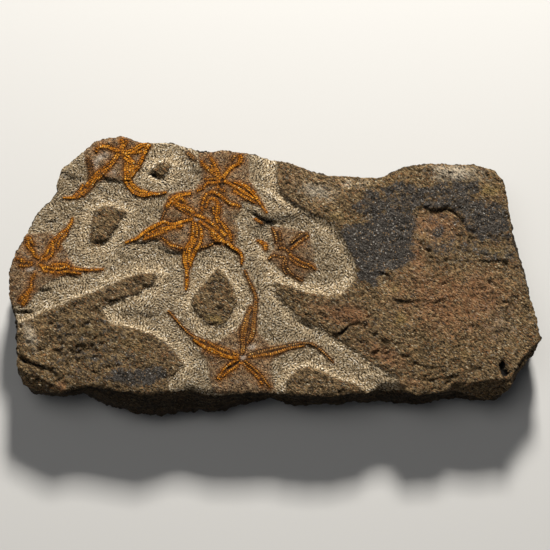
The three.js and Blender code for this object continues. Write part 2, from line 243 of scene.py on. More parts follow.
# Where a dark crust of manganese lies on the bedding: how solid it is, and its outline.
dark_crusts = [
    (12, [(36, 23), (44, 26), (52, 26), (56, 33), (64, 36), (70, 32), (76, 32), (77, 24),
          (75, 16), (77, 7), (70, 3), (65, 1), (58, -2), (54, -8), (46, -6), (45, 1), (41, 9),
          (37, 15)]),
    (1.2, [(42, 36), (52, 44), (60, 47), (70, 49), (78, 46), (88, 47), (97, 50), (112, 50),
           (114, 45), (108, 41), (120, 38), (130, 34), (130, 19), (113, 17), (107, 24), (103, 30),
           (97, 35), (88, 35), (80, 36), (76, 32), (64, 31), (52, 30), (44, 33)]),
    (3, [(108, 24), (108, 36), (118, 38), (128, 32), (128, 20), (114, 18)]),
    (3, [(97, 44), (98, 50), (112, 50), (114, 45), (105, 42)]),
    (-0.8, [(84, 14), (86, 32), (100, 30), (104, 18), (128, 18), (132, 8), (112, 6), (96, 8)]),
    (3, [(84, 19), (85, 23), (92, 23), (92, 19)]),
    (2.5, [(-93, -60), (-88, -54), (-79, -55), (-70, -54), (-61, -54), (-57, -57), (-66, -62),
           (-80, -63)]),
    (-1.2, [(-118, -30), (-100, -26), (-84, -34), (-76, -52), (-96, -62), (-118, -56)]),
]
# Ledges where a thin bed breaks off: the drop, and a line with the higher stone on its left.
ledges = [
    (2.2, [(78, 34), (82, 35.5), (86, 34), (90, 33.5), (96, 34.5), (100, 32), (104, 27.5), (107, 22)]),
    (1.3, [(79, 16.5), (83, 13), (87.5, 10.5)]), (0.8, [(86, 6.5), (90, 5), (92.5, 2.5)]),
    (1.3, [(107, 10.5), (113, 8), (117, 5), (122, 6), (127, 5), (130, 1.5), (136, 2)]),
    (0.9, [(113, -1), (116, -5), (121, -7.5)]), (0.9, [(77, -4), (81, -6.5), (85, -7)]),
    (0.9, [(91, -7), (93.5, -7.2), (97, -4.5)]), (0.8, [(71, -21), (74.5, -24.5)]),
    (1.4, [(64.5, -16), (68, -16.5), (72, -17.3), (78, -16.5)]),
    (1.3, [(81, -16.5), (88, -18), (91, -16), (97, -14.5)]), (0.5, [(96, -20), (100, -27)]),
    (1.9, [(28, -31.5), (31, -34), (34.5, -35), (39, -32), (42, -29.7), (49, -29)]),
    (1.2, [(48, -33), (55, -35), (59, -38), (66, -40)]), (0.8, [(74, -34), (78, -33)]),
    (1.4, [(56, -1.5), (60, -1.5), (65, -3)]), (1.2, [(72, -47), (78, -51), (86, -53), (94, -53)]),
    (1.2, [(88, -59.5), (95, -59), (99, -57.5), (104, -58.5)]), (0.7, [(105, -52), (111, -54)]),
    (1.3, [(91, 53.5), (95, 51.5), (98.5, 51)]), (0.6, [(119, -31.5), (122, -32)]),
    (2.6, [(-14, 33.5), (-8, 29.5), (-3, 27.5), (2, 27)]),
    (1.4, [(1, 45), (7, 40), (12, 36.5), (18, 33.5)]), (0.8, [(-6, 43), (0, 38.5), (5, 34)]),
    (0.8, [(8, 43.5), (12, 41), (15, 41)]), (1.2, [(-131, -10), (-126, -10.5), (-121, -9.5)]),
    (1.7, [(-146, -21.5), (-138, -22.5), (-131, -22)]),
    (2.2, [(-141, -45.5), (-137, -48), (-133, -51), (-127, -53), (-121, -56), (-116, -59)]),
    (0.8, [(-132, -41), (-127, -44)]), (1.0, [(-115, -41.5), (-109, -45), (-103, -43)]),
    (1.1, [(-112, -48.5), (-106, -49.3), (-100, -49)]), (1.1, [(-96, -7.5), (-91, -8.5), (-86, -6.5)]),
    (1.4, [(-79.5, -3), (-77, -5.5), (-72, -7.5), (-67, -8)]),
    (1.5, [(-95.5, -14), (-91, -16.5), (-86, -16), (-80, -13.5)]),
    (0.9, [(-116, -16), (-110, -19.5), (-104, -21)]), (1.2, [(-98, 52.5), (-93, 51), (-85, 50)]),
    (1.1, [(-78, 16.5), (-73, 15), (-69, 16)]), (1.4, [(-65, 14.5), (-60, 11), (-55, 10), (-51, 10.5)]),
    (0.9, [(-40, 12.5), (-35, 15), (-31, 15.5)]), (0.6, [(11, -24), (16, -27.5), (21, -32)]),
    (1.6, [(129, -62), (131, -57), (134, -52), (137, -47.5), (142, -43)]), (0.5, [(4, -20), (10, -26)]),
    (0.6, [(54, -9.5), (55.5, -14), (59, -18)]), (1.0, [(-117, 55), (-112, 52), (-107, 51.5)]),
    (0.7, [(-112, 36), (-106, 33.5), (-101, 35.5)]), (0.6, [(-100, 48), (-96, 45), (-90, 46)]),
    (0.7, [(-84, 9), (-80, 7), (-74, 7.5)]), (0.8, [(-130, 29), (-124, 27.5), (-118, 29)]),
    (0.7, [(-77, -22), (-70, -25), (-62, -23.5)]),
]
# Hollows: centre, half-sizes along and across, turn in degrees, depth.
hollows = [
    ((-67, 53.5), (2.3, 1.4), -10, 2.4), ((-64.6, 52.4), (2, 1), -40, 1.5),
    ((-97, 15.5), (4, 1.6), 5, 1.6), ((-92, 35.5), (4.5, 1.0), 0, 1.1), ((-88, 23.5), (1.5, 1.2), 0, 0.9),
    ((-29.5, 47), (1.6, 1.2), -30, 0.9), ((-10, 18.5), (1.3, 1.2), 0, 1.8),
    ((124.6, -52.4), (1.4, 2.8), -12, 4.5), ((125.8, -56), (2, 2.2), 25, 4),
    ((-44, 54.5), (3.2, 2.2), -35, 1.0), ((-137.5, -49.5), (3.4, 1.3), -40, 2.2),
    ((-121, -44), (1.6, 1.2), 0, 0.8), ((-90, -12), (4.5, 2.4), -10, 0.9),
    ((-76, -5), (3, 1.6), -30, 0.8),
]
# Where a corner of the block falls away: the slope, and an outline round the low side.
falls = [
    (1.0, [(96, -61.5), (104, -62), (112, -61), (120, -59.5), (127, -59), (129, -62), (150, -62),
           (150, -95), (86, -95)]),
    (0.8, [(147, -36), (139.5, -43.5), (134.5, -51), (131, -57), (129, -61), (150, -85), (170, -60)]),
    (1.3, [(56, -95), (56.5, -63), (60, -61.3), (66, -61.3), (71, -63), (74, -95)]),
    (0.7, [(-139, -54), (-131, -58), (-124, -61), (-116, -64.5), (-112, -95), (-165, -95), (-165, -58)]),
]
# The ground dips in a wide bowl round the right-hand star.
bowl = [(-4, 29), (5, 31), (17, 31), (30, 27), (37, 18), (43, 5), (43, -3), (36, -9), (22, -10),
        (10, -7), (0, -1), (-6, 5), (-10, 14), (-11, 22)]
# Soft patches of tone, darker below 0, and of tint: centre, half-sizes, turn in degrees,
# strength. The tone patches are partly the stone's own tone and partly painted light and
# shade. The first is where the block is the most broken.
most_broken = ((-108, -38), (36, 20), -15, 1.8)
tone_and_shade_patches = [
    ((28, 8), (14, 13), 0, -0.22), ((7, 29), (12, 3.4), -3, -0.6), ((-8, 26), (8, 4.5), -25, -0.4),
    ((-74, -24), (14, 4.5), -5, -0.32), ((-44, 54), (5, 4), 0, -0.4), ((-135, -36), (6, 5), -30, 0.4),
    ((-57, -45), (6, 4), -40, -0.25), ((42, 48), (10, 3.5), 0, 0.75), ((96, 56.5), (9, 3.2), -5, 0.7),
    ((62, 2.5), (2.5, 2.2), 0, 0.8), ((65, -10), (3, 2.2), 0, 0.5), ((59, -12.5), (1.8, 5), 25, 0.7),
    ((84, 20), (4, 2.5), 0, 0.4), ((84, -45), (6, 5), 0, -0.3), ((-10, 12), (3.2, 17), 33, 0.45),
    ((-2, 42), (9, 5), -40, 0.2), ((-112, -14), (16, 3), 22, -0.2), ((-128, 33), (8, 6), 45, -0.2),
    ((-113, 53), (6, 5), 0, -0.3), ((-5, -33), (12, 5), 0, -0.12), ((22, -36), (16, 4), -35, -0.05),
    ((-128, -47), (9, 3), -20, 0.25), ((-110, -43), (8, 5), 0, -0.35), ((-96, -12), (7, 4), -10, -0.3),
    ((55, 50), (10, 3), 0, 0.3), ((112, 54), (8, 4), -10, 0.2), ((38, -20), (9, 5), -20, -0.12),
    ((-31, -12), (9, 12), 0, -0.1), ((116, -62), (14, 3), 0, -0.4), ((80, -25), (14, 9), 0, 0.1),
    ((30, 37), (10, 5), -25, 0.15), ((-25, 31), (5, 4), 0, -0.2), ((0, -57), (5, 5), 0, -0.1),
    ((-106, 1), (14, 8), 0, 0.14), ((24, 42), (10, 6), 0, 0.2), ((93, 23), (12, 8), 0, 0.2),
    ((120, 35), (14, 10), 0, 0.12), ((105, -40), (26, 14), -20, 0.12),
]
olive_tints = [
    ((118, 45), (8, 3.5), 0, 0.8), ((72, 36), (4, 3), 30, 0.8), ((104, 35), (3, 2.5), 0, 0.8),
    ((120, 11), (10, 4), 0, 0.6), ((69, -27), (4, 5), 0, 0.8), ((-33, -26.5), (7, 2.6), -18, 0.9),
    ((84, 46), (4, 4), 0, 0.5), ((104, -46), (4, 3), 0, 0.5), ((7, 29), (12, 3), 0, 0.6),
    ((-108, -30), (18, 8), -10, 0.4), ((66, -10), (3, 3), 0, 0.6), ((84, 20), (4, 3), 0, 0.5),
    ((-80, -40), (16, 5), -10, 0.4), ((34, 30), (7, 4), 0, 0.4), ((20, 2), (9, 8), 0, 0.3),
]
# Pale grey stone fills the mouths and shows along the middle of one arm and between the
# arms. Along the back rim the pale tint is painted light on the lit arris.
pale_tints = [
    ((-134, -36), (5, 8), 20, 0.8), ((100, 54), (15, 5), -5, 1.0), ((24, 44), (12, 5), -10, 0.8),
    ((45, 49), (8, 4), 0, 0.5), ((64, 2), (3, 3), 0, 0.6), ((125, -28), (12, 14), 0, 0.35),
    ((-17.6, -47.7), (2.2, 1.6), 0, 1.0), ((-12.6, -41.8), (2.8, 2.2), 0, 0.8),
    ((-134.8, 1.5), (2.2, 1.6), 0, 1.8), ((-43.8, 29.8), (2.4, 1.2), -40, 1.3),
    ((-38, 26.5), (5, 0.7), -36, 0.9), ((-96, 64), (5, 2.6), 30, 0.8), ((-90, 56), (3, 2), 0, 0.6),
    ((-77, 62), (2, 2.4), 0, 0.6), ((-50, 24), (3, 1.6), -20, 0.5), ((-18, 28), (2.4, 3), 0, 0.6),
    ((-99, 58), (2, 3), 0, 0.5),
]
red_tints = [
    ((90, 25), (14, 9), 0, 1.0), ((42, -24), (10, 5), 0, 0.9), ((60, -46), (14, 5), -25, 0.9),
    ((78, 8), (5, 8), 0, 0.6), ((-116.5, -63), (3, 3), 0, 1.2), ((94, -18), (34, 20), -20, 0.75),
    ((30, -22), (16, 6), -20, 0.5), ((118, -10), (16, 12), 0, 0.5), ((-60, -44), (8, 4), -30, 0.5),
    ((75, -62), (12, 3), 0, 0.6), ((-106, 30), (7, 6), 0, 0.2), ((10, 52), (8, 5), -30, 0.3),
]


def to_line(at, line):
    """Distance from points to a line of points, the side (left is 1) and the place along it."""
    best = np.full(at.shape[:-1], np.inf)
    side = np.ones_like(best)
    place = np.zeros_like(best)
    line = np.array(line, float)
    for k, (a, b) in enumerate(zip(line[:-1], line[1:])):
        run = b - a
        t = np.clip(((at - a) @ run) / (run @ run), 0, 1)
        away = at - a - t[..., None] * run
        gap = np.hypot(away[..., 0], away[..., 1])
        cross = run[0] * (at[..., 1] - a[1]) - run[1] * (at[..., 0] - a[0])
        nearer = gap < best
        best = np.where(nearer, gap, best)
        side = np.where(nearer, np.where(cross > 0, 1, -1), side)
        place = np.where(nearer, (k + t) / (len(line) - 1), place)
    return best, side, place


def inside(at, outline):
    """Distance from points to a closed outline, positive within it."""
    ring = np.array(outline, float)
    gap = to_line(at, np.concatenate([ring, ring[:1]]))[0]
    within = np.zeros(gap.shape, bool)
    x, y = at[..., 0], at[..., 1]
    for (ax, ay), (bx, by) in zip(ring, np.roll(ring, -1, axis=0)):
        if ay != by:
            within ^= ((ay > y) != (by > y)) & (x < ax + (y - ay) / (by - ay) * (bx - ax))
    return np.where(within, gap, -gap)


def ease(value):
    """A smooth step from 0 to 1."""
    value = np.clip(value, 0, 1)
    return value * value * (3 - 2 * value)


# ---- Where the brittle stars lie -----------------------------------------------------
# Six stars and three loose bits of arm lie in the face. An arm is one or more strips of
# plates: how rusty the strip is, and a line through (x, y, half-width) along it.
stars = {
    "brittle_star_top_left": [
        (1.0, [(-85, 67.5, 1), (-84.5, 70, 1.1), (-84.8, 73, 0.9)]),
        (0.9, [(-83.3, 69.5, 0.7), (-82.3, 72.5, 0.8)]),
        (1.0, [(-84.5, 66.5, 1), (-81.5, 66.3, 1.1), (-79, 67, 1.2), (-76.5, 68.5, 1.4),
               (-74, 70, 1.4), (-71.5, 70.4, 1.1), (-69.4, 70, 0.8)]),
        (1.0, [(-80, 66, 0.8), (-77, 66.5, 1), (-74.5, 67.2, 1.2), (-72, 68, 1.2), (-70.5, 68.8, 0.9)]),
        (1.0, [(-71.3, 66.8, 0.9), (-73, 64.8, 0.9), (-73.3, 62.7, 0.9), (-74.5, 60.6, 1),
               (-75.8, 58.1, 1.1), (-77.8, 55.7, 1.1), (-79.4, 53.2, 1)]),
        (1.0, [(-82.3, 60, 1), (-82.3, 57, 1.2), (-82, 54, 1.3), (-82, 51.5, 1.2)]),
        (1.0, [(-80, 62, 0.8), (-79.5, 60, 1.2), (-79.3, 57, 1.3), (-80, 54, 1.2), (-80.7, 51.5, 1)]),
        (1.0, [(-84.8, 65.3, 0.9), (-83, 63, 0.8), (-81, 61.5, 0.9)]),
        (1.0, [(-84, 66, 0.8), (-81.5, 64.3, 0.6), (-79.7, 62.5, 0.6), (-78, 60.5, 0.7)]),
        (1.0, [(-83, 50.5, 0.8), (-81, 47.5, 0.9), (-78.5, 44.5, 1), (-75.5, 43, 1), (-72, 42.3, 1),
               (-68, 43, 0.8), (-64, 43, 0.6), (-60.5, 43.8, 0.5)]),
        (1.0, [(-80.3, 51, 0.9), (-79, 48.5, 1), (-77, 46.3, 1), (-74.5, 44.8, 0.9),
               (-71.5, 44.2, 0.6), (-68.5, 43.8, 0.4)]),
        (1.0, [(-87, 65, 1.1), (-89, 61.8, 1.2), (-91.3, 59.6, 1.2), (-94.5, 57, 1.1),
               (-97.5, 55, 1.1), (-100, 52.5, 1.2), (-102, 50, 1.2), (-104, 47.5, 1.2)]),
        (0.9, [(-88.5, 61.5, 0.6), (-90.5, 58.8, 0.7), (-92.5, 56.7, 0.7), (-94.8, 54.5, 0.7)]),
        (0.9, [(-96, 53, 0.9), (-99, 51.5, 1), (-101, 48.8, 1.1), (-103.8, 45.6, 1.3), (-107, 43.2, 1.1)]),
        (1.0, [(-106, 43, 0.9), (-109.5, 41.3, 0.7), (-113.5, 41, 0.5), (-116.5, 41, 0.4)]),
        (1.0, [(-106.5, 48, 0.5), (-107.3, 46, 0.7), (-109.5, 43.5, 0.7), (-111.5, 41.8, 0.4)]),
        (1.0, [(-86.5, 67.5, 1.2), (-89.5, 67.8, 1), (-92, 69.2, 1), (-95, 69.7, 0.9), (-97.5, 69, 0.7)]),
        (0.8, [(-98.5, 68.5, 0.8), (-98.8, 66.8, 0.7)]),
    ],
    "brittle_star_left_edge": [
        (0.9, [(-123, 3.4, 0.6), (-119.5, 3.7, 0.8), (-117, 4, 0.9), (-115, 3.4, 0.9), (-113.5, 2.4, 0.9),
               (-111, 1.5, 0.8), (-108, 1, 0.7), (-104, 0.6, 0.6), (-100, 0.6, 0.5), (-95, 1, 0.4)]),
        (0.9, [(-129.5, 3.6, 0.7), (-127, 2.3, 0.8), (-124.5, 2, 0.8), (-121.5, 1.3, 0.8), (-118, 1.4, 0.8),
               (-115.5, 2.3, 0.7), (-113.5, 2.2, 0.6)]),
        (0.9, [(-128.5, 2.6, 0.6), (-126.3, -0.3, 0.7), (-124.5, 0, 0.7), (-121.7, -0.7, 0.8),
               (-118, -0.9, 0.8), (-115.5, -0.3, 0.7), (-111.4, -0.7, 0.6), (-107.2, -1.4, 0.5)]),
        (0.9, [(-128.5, 7.5, 0.6), (-126, 9.5, 0.6), (-124.8, 12, 0.7), (-123.5, 14.8, 0.9),
               (-121.8, 17, 1), (-118.5, 20.5, 1), (-116, 22.5, 0.9), (-114, 24.5, 0.9),
               (-112.5, 27, 0.7), (-112, 29.5, 0.5)]),
        (0.9, [(-127.8, 6.2, 0.9), (-124.7, 7.5, 0.9), (-122.8, 9, 0.8), (-122.3, 12, 0.9),
               (-122.3, 14.5, 0.6)]),
        (0.8, [(-119.6, 12.5, 0.6), (-119.2, 15.3, 0.9), (-118, 17.5, 0.9), (-116, 19.5, 0.8),
               (-114.5, 22, 0.6)]),
        (0.9, [(-130.3, 7, 0.7), (-132.2, 8.5, 0.8), (-133.2, 10.8, 0.9), (-135, 12.7, 1.1),
               (-136.2, 14.5, 1.1), (-136.2, 16.8, 1), (-136.4, 18.6, 0.8)]),
        (0.8, [(-134.9, 18.3, 0.6), (-134, 16.5, 0.6), (-133.2, 14.8, 0.6)]),
        (0.8, [(-142, 6.8, 0.6), (-138.5, 6.2, 0.6)]), (0.8, [(-139.5, 5.3, 0.6), (-134, 4.8, 0.6)]),
        (0.8, [(-140.2, 3, 0.6), (-136, 2.8, 0.6), (-134, 3.2, 0.5)]),
        (0.8, [(-132.3, -2, 0.6), (-133.8, -5, 0.7), (-134, -9, 0.8), (-136, -11.5, 0.9),
               (-138, -14, 1.1), (-140, -16, 1)]),
        (0.9, [(-133.5, -9.5, 0.7), (-135.5, -12.5, 0.9), (-136.5, -15, 1.1), (-138.3, -18.3, 1)]),
    ],
    "brittle_star_top_middle": [
        (0.9, [(-30.5, 51.8, 0.9), (-33, 53.8, 1), (-35, 55.5, 1), (-37, 57.3, 1), (-39, 58.8, 0.7),
               (-40.5, 61, 0.6)]),
        (0.9, [(-30, 52.5, 0.7), (-31.5, 56, 0.7), (-33, 58.7, 0.8), (-34.2, 61, 0.8), (-35.5, 63.3, 0.7)]),
        (0.8, [(-32.3, 54.5, 0.6), (-34.3, 56.8, 0.7), (-35, 58.5, 0.5)]),
        (1.0, [(-28.5, 52, 1), (-26.8, 54.5, 0.9), (-24.8, 57, 0.9), (-22.5, 58.8, 0.9), (-20, 60.2, 0.9),
               (-18.9, 62.3, 1.2), (-19.2, 64.3, 1.1)]),
        (0.6, [(-26.8, 57.5, 0.5), (-25.8, 59, 0.5)]),
        (0.6, [(-23.5, 62, 0.7), (-22.3, 64, 0.9)]),
        (0.8, [(-30.5, 50.7, 0.6), (-33.4, 51.4, 0.6), (-38.2, 51.4, 0.5)]),
        (0.9, [(-30.5, 49.8, 0.8), (-33.5, 49.3, 0.9), (-36.5, 49.2, 0.9), (-38.5, 48, 0.7),
               (-39.5, 46.2, 0.6), (-42.5, 44.6, 0.5)]),
        (0.8, [(-31.5, 48, 0.6), (-31, 46.3, 0.8), (-29, 45.3, 0.7), (-27.8, 44.5, 0.5)]),
        (1.0, [(-22, 49.3, 0.5), (-18.5, 48.2, 0.9), (-15.5, 46.8, 1), (-13, 44.8, 1.1), (-11, 42.3, 1),
               (-9.5, 39.5, 0.8), (-8, 37.5, 0.6), (-6.3, 35, 0.5), (-4.5, 32.5, 0.4)]),
        (1.0, [(-27.5, 50, 0.8), (-25, 48.8, 0.8), (-22, 47, 0.8), (-19, 45.3, 0.8), (-16, 43.3, 0.8),
               (-13.5, 41.8, 0.7), (-11.3, 40, 0.6)]),
        (0.9, [(-22.5, 44.8, 0.7), (-20, 43.3, 0.8), (-17.5, 41.5, 0.8), (-15, 40.3, 0.8),
               (-12.5, 38.8, 0.6), (-10.5, 37.6, 0.4)]),
    ],
    "brittle_star_centre": [
        (0.8, [(-45.5, 30.3, 0.5), (-48.5, 32, 0.6), (-51.5, 34, 0.7), (-54, 36, 0.7)]),
        (1.0, [(-44.4, 32.5, 0.9), (-47.2, 34.4, 1.1), (-49.6, 35.8, 1.2), (-52, 36.3, 1.1),
               (-54, 37.3, 1.1), (-55.8, 39.2, 1)]),
        (1.0, [(-59.5, 36, 0.8), (-58, 38.5, 1.2), (-56, 40.5, 1.2), (-53.5, 42, 1.1), (-50.5, 42.8, 1),
               (-47, 43, 0.8)]),
        (0.9, [(-56, 37.5, 1), (-54, 39.5, 1), (-51.5, 40.5, 0.9), (-50, 38.5, 0.8)]),
        (0.5, [(-59.7, 35.4, 0.6), (-61.1, 32.5, 0.6), (-62.5, 29.1, 0.5)]),
        (1.0, [(-46, 28.6, 0.8), (-49, 28.3, 0.9), (-52, 27.2, 0.9), (-55, 26.2, 0.9), (-58.5, 26.5, 0.8),
               (-61, 27.5, 0.7), (-64, 26.2, 0.9), (-67.5, 24.5, 1), (-70.5, 22.8, 0.9), (-73.5, 20.5, 0.8),
               (-76, 18.3, 0.6), (-79, 17.2, 0.5), (-82, 16, 0.5)]),
        (1.0, [(-51.5, 25, 0.8), (-55, 24.5, 0.9), (-58.5, 24, 1), (-62, 23.3, 1.1), (-65.5, 22.3, 1.1),
               (-68.5, 21.3, 0.9), (-71.5, 19.6, 0.7)]),
        (0.9, [(-60.5, 22, 0.8), (-63.5, 21, 0.8), (-67, 19.8, 0.8), (-69.5, 18.8, 0.7), (-72, 17.8, 0.5)]),
        (1.0, [(-45, 27, 0.6), (-45, 23.5, 0.8), (-45.3, 20, 0.9), (-46, 17, 1), (-47.5, 14.3, 1.1),
               (-49, 11.5, 1.2), (-49.5, 8.5, 1.2), (-49.5, 5.5, 1.1), (-49, 2.5, 0.9)]),
        (0.9, [(-43.8, 26.5, 0.6), (-43, 23.5, 0.8), (-43, 20.5, 0.8), (-44, 17, 0.9), (-45.5, 14, 0.9),
               (-46.8, 11.5, 0.9), (-47.3, 8.5, 0.9), (-47.5, 5.5, 0.8)]),
        (1.0, [(-41.5, 25.5, 0.6), (-40.5, 22.5, 0.8), (-40.5, 19, 0.8), (-41, 16, 0.8), (-42.5, 13.5, 0.8),
               (-44, 11, 0.9), (-45, 8.5, 0.9), (-46, 5.5, 0.8), (-47, 2.5, 0.8)]),
        (1.0, [(-48.2, 1.5, 1), (-48.3, -2, 0.9), (-48.3, -5, 0.8), (-48.5, -8, 0.6), (-48.8, -9.8, 0.5)]),
        (1.0, [(-43.5, 31, 0.8), (-40.5, 30, 0.8), (-37.5, 28.5, 0.8), (-35, 26.5, 0.8), (-32, 24.5, 0.7),
               (-29.5, 22.3, 0.8), (-27.5, 20, 0.8)]),
        (1.0, [(-41.5, 27.5, 0.7), (-38.5, 26, 0.8), (-36, 23.8, 0.8), (-33, 21.3, 0.9), (-30, 18.3, 0.9),
               (-27.5, 16, 0.8)]),
        (0.9, [(-34.5, 22, 0.9), (-34, 19.5, 1.1), (-32.5, 17.7, 1.1), (-30, 16.8, 0.9)]),
        (0.9, [(-29.5, 27, 0.7), (-27.5, 24.5, 1), (-25.5, 21.8, 1.2), (-24.3, 19.3, 1), (-24, 17, 0.7)]),
        (1.0, [(-26.5, 16, 0.9), (-24, 13.8, 0.9), (-21.5, 12.2, 0.8), (-19.3, 10.5, 0.8), (-18.2, 8.3, 0.7),
               (-18, 6, 0.6), (-18.2, 4.3, 0.4)]),
        (0.9, [(-41, 31.5, 0.6), (-40.3, 34.5, 0.8), (-40, 37.5, 0.8), (-39, 40.5, 0.9), (-37.5, 42.8, 0.9),
               (-35, 44, 0.9), (-32.5, 43.5, 1), (-30, 42, 1), (-27.5, 40, 0.9), (-25.5, 38.3, 0.8),
               (-23.5, 37, 0.8), (-21, 36.8, 0.6), (-19.5, 36, 0.5)]),
        (0.9, [(-38, 35.5, 0.7), (-37.5, 37.5, 0.7), (-36.5, 39.5, 0.8), (-34.5, 40.5, 0.8),
               (-32.5, 39.5, 0.8), (-31.3, 37.5, 0.9)]),
        (1.0, [(-31, 36, 1.1), (-31.3, 33, 1.1), (-31.8, 30, 1.2), (-31, 27.5, 1.1)]),
        (0.8, [(-34, 35, 0.8), (-33.5, 32, 0.7)]),
        (0.8, [(-62.5, 19, 0.5), (-59.5, 16.5, 0.7), (-57.5, 14.7, 0.8), (-54.5, 13.7, 0.8),
               (-51.5, 12.7, 0.7)]),
        (0.6, [(-40.5, 13.3, 0.6), (-37.5, 13.8, 0.8), (-34.5, 15, 0.5)]),
    ],
    "brittle_star_right": [
        (0.7, [(9, 12.3, 0.6), (11, 14, 0.8), (13, 15.8, 0.8), (15, 17.5, 0.8), (17, 18.4, 0.9),
               (18.2, 19.5, 0.7)]),
        (0.5, [(9.5, 16, 0.5), (11.5, 18, 0.6), (13.3, 19.7, 0.6), (14.5, 20.8, 0.5), (16.5, 20.6, 0.6),
               (18.3, 21.3, 0.4)]),
        (0.7, [(8.3, 9.5, 0.6), (10, 8.2, 0.7), (12, 7, 0.8), (14, 5.6, 0.7), (16, 4.7, 0.7), (18.5, 4, 0.7),
               (20.5, 2.8, 0.6), (22, 1.3, 0.5)]),
        (0.6, [(8.5, 7, 0.7), (10, 5.8, 0.6), (12, 4.2, 0.7), (14, 3.2, 0.8), (16, 2.5, 0.6), (18, 2, 0.5)]),
        (0.5, [(5.8, 7, 0.6), (4.8, 5, 0.6), (4.6, 2.5, 0.6), (5.2, 0.3, 0.5), (6.3, -1.3, 0.4)]),
        (0.5, [(6.5, 6, 0.6), (6.2, 4, 0.7), (7, 2, 0.6), (8, 0.3, 0.5), (9.5, -1.3, 0.5), (11.5, -3, 0.4),
               (13.5, -4.5, 0.6), (15, -5.2, 0.5)]),
        (0.5, [(5.5, 8, 0.5), (3.5, 7.8, 0.6), (1.8, 8.3, 0.7), (0, 8.8, 0.7), (-1.8, 8.2, 0.7),
               (-3, 7, 0.6)]),
        (0.6, [(0.8, 16, 0.6), (0.9, 18, 0.7), (0.4, 20.3, 0.8), (-0.5, 22.3, 0.6), (-1.2, 24, 0.6)]),
        (0.5, [(3.4, 15, 0.7), (3.2, 17.5, 0.5), (2.9, 20.3, 0.7), (2.5, 22, 0.5)]),
        (0.6, [(2.8, 12.8, 0.6), (4.5, 13, 0.7), (6.5, 12, 0.8), (7.5, 11, 0.7)]),
    ],
    "brittle_star_bottom": [
        (0.6, [(-17.6, -45, 1.2), (-17.2, -41.5, 1.2), (-17.4, -38, 1.4), (-17.2, -35, 1.8),
               (-16.6, -32, 1.9), (-16, -29, 1.8), (-15.2, -26, 1.4), (-14.3, -23, 1.1), (-13, -20, 1)]),
        (0.6, [(-14.8, -39.5, 0.8), (-13, -37, 1.3), (-12, -34, 1.3), (-11.7, -31, 1.4),
               (-11.4, -27.5, 1.2), (-11, -24, 1.1), (-10.7, -20, 1.2), (-10.2, -16, 0.9),
               (-11, -12.2, 0.8), (-13, -7.7, 0.7), (-14.5, -4.5, 0.6), (-16.3, 0, 0.5)]),
        (0.7, [(-20, -46.3, 0.7), (-24, -45.2, 0.8), (-28, -43.6, 0.9), (-32, -41.8, 0.9), (-36, -39.8, 0.8),
               (-40, -38.2, 0.7), (-44, -36.5, 0.6), (-47.5, -34, 0.6), (-50.5, -31, 0.5), (-54, -27, 0.5),
               (-58, -22.5, 0.4)]),
        (1.0, [(-20.3, -48, 0.8), (-24, -47.7, 0.9), (-28, -46.6, 1), (-32, -44.8, 1.1), (-36, -43, 1.1),
               (-39, -41.5, 0.9), (-41.5, -40, 0.7), (-44, -38.3, 0.5)]),
        (0.5, [(-14.5, -46.3, 0.6), (-11, -45.2, 0.7), (-7, -44.2, 0.8), (-3, -43.3, 0.8), (1, -42.3, 0.7),
               (5, -41.5, 0.7), (9, -40.7, 0.7), (13, -40, 0.7), (17, -39.7, 0.5), (20.5, -40, 0.5)]),
        (0.7, [(-14, -47.5, 0.7), (-10, -47, 0.8), (-6, -46.3, 0.8), (-2, -45.8, 0.9), (2, -44.8, 1),
               (5.5, -43.5, 0.9), (9, -42.3, 0.8), (12.5, -41.7, 0.6), (16, -41.3, 0.5)]),
        (0.5, [(20.5, -40.3, 0.6), (23.5, -42, 0.6), (26.5, -44.5, 0.6), (29.5, -47.5, 0.5), (32, -50, 0.4)]),
        (0.9, [(-20, -49, 0.6), (-23.5, -50.8, 0.7), (-26.5, -53, 0.7), (-29, -56, 0.6), (-31, -59, 0.5)]),
        (0.9, [(-19, -50.8, 0.6), (-22, -53.3, 0.7), (-25, -55.3, 0.7), (-28, -57.8, 0.6),
               (-30, -59.5, 0.5)]),
        (0.8, [(-17.5, -50.5, 0.5), (-14.5, -53.5, 0.6), (-11.5, -56.3, 0.7), (-9, -59, 0.7),
               (-7, -62, 0.6)]),
        (0.7, [(-16, -49.8, 0.5), (-12.8, -52.3, 0.6), (-9.8, -55, 0.6), (-7, -57.8, 0.6), (-4.5, -61.5, 0.5),
               (-3, -63.5, 0.4)]),
    ],
}
loose_arms = {
    "arm_fragment_top": (0.5, [(-48, 65.8, 1.1), (-46.2, 64.2, 1.2), (-44.3, 62.5, 0.9)]),
    "arm_fragment_upper": (0.9, [(-10.4, 29, 0.7), (-7.4, 27, 0.7)]),
    "arm_fragment_right": (1.0, [(-9, 17, 0.6), (-7, 16, 1), (-5.3, 14.8, 1.2), (-5, 13, 1.1)]),
}
# Smooth rust with no plates left in it: how rusty, and a line through (x, y, half-width).
stains = [
    (0.6, [(-103.5, 62, 0.7), (-102.8, 60, 1.1), (-102.2, 57.5, 1.3), (-101.6, 55, 1.1),
           (-102.5, 52, 0.8)]),
]
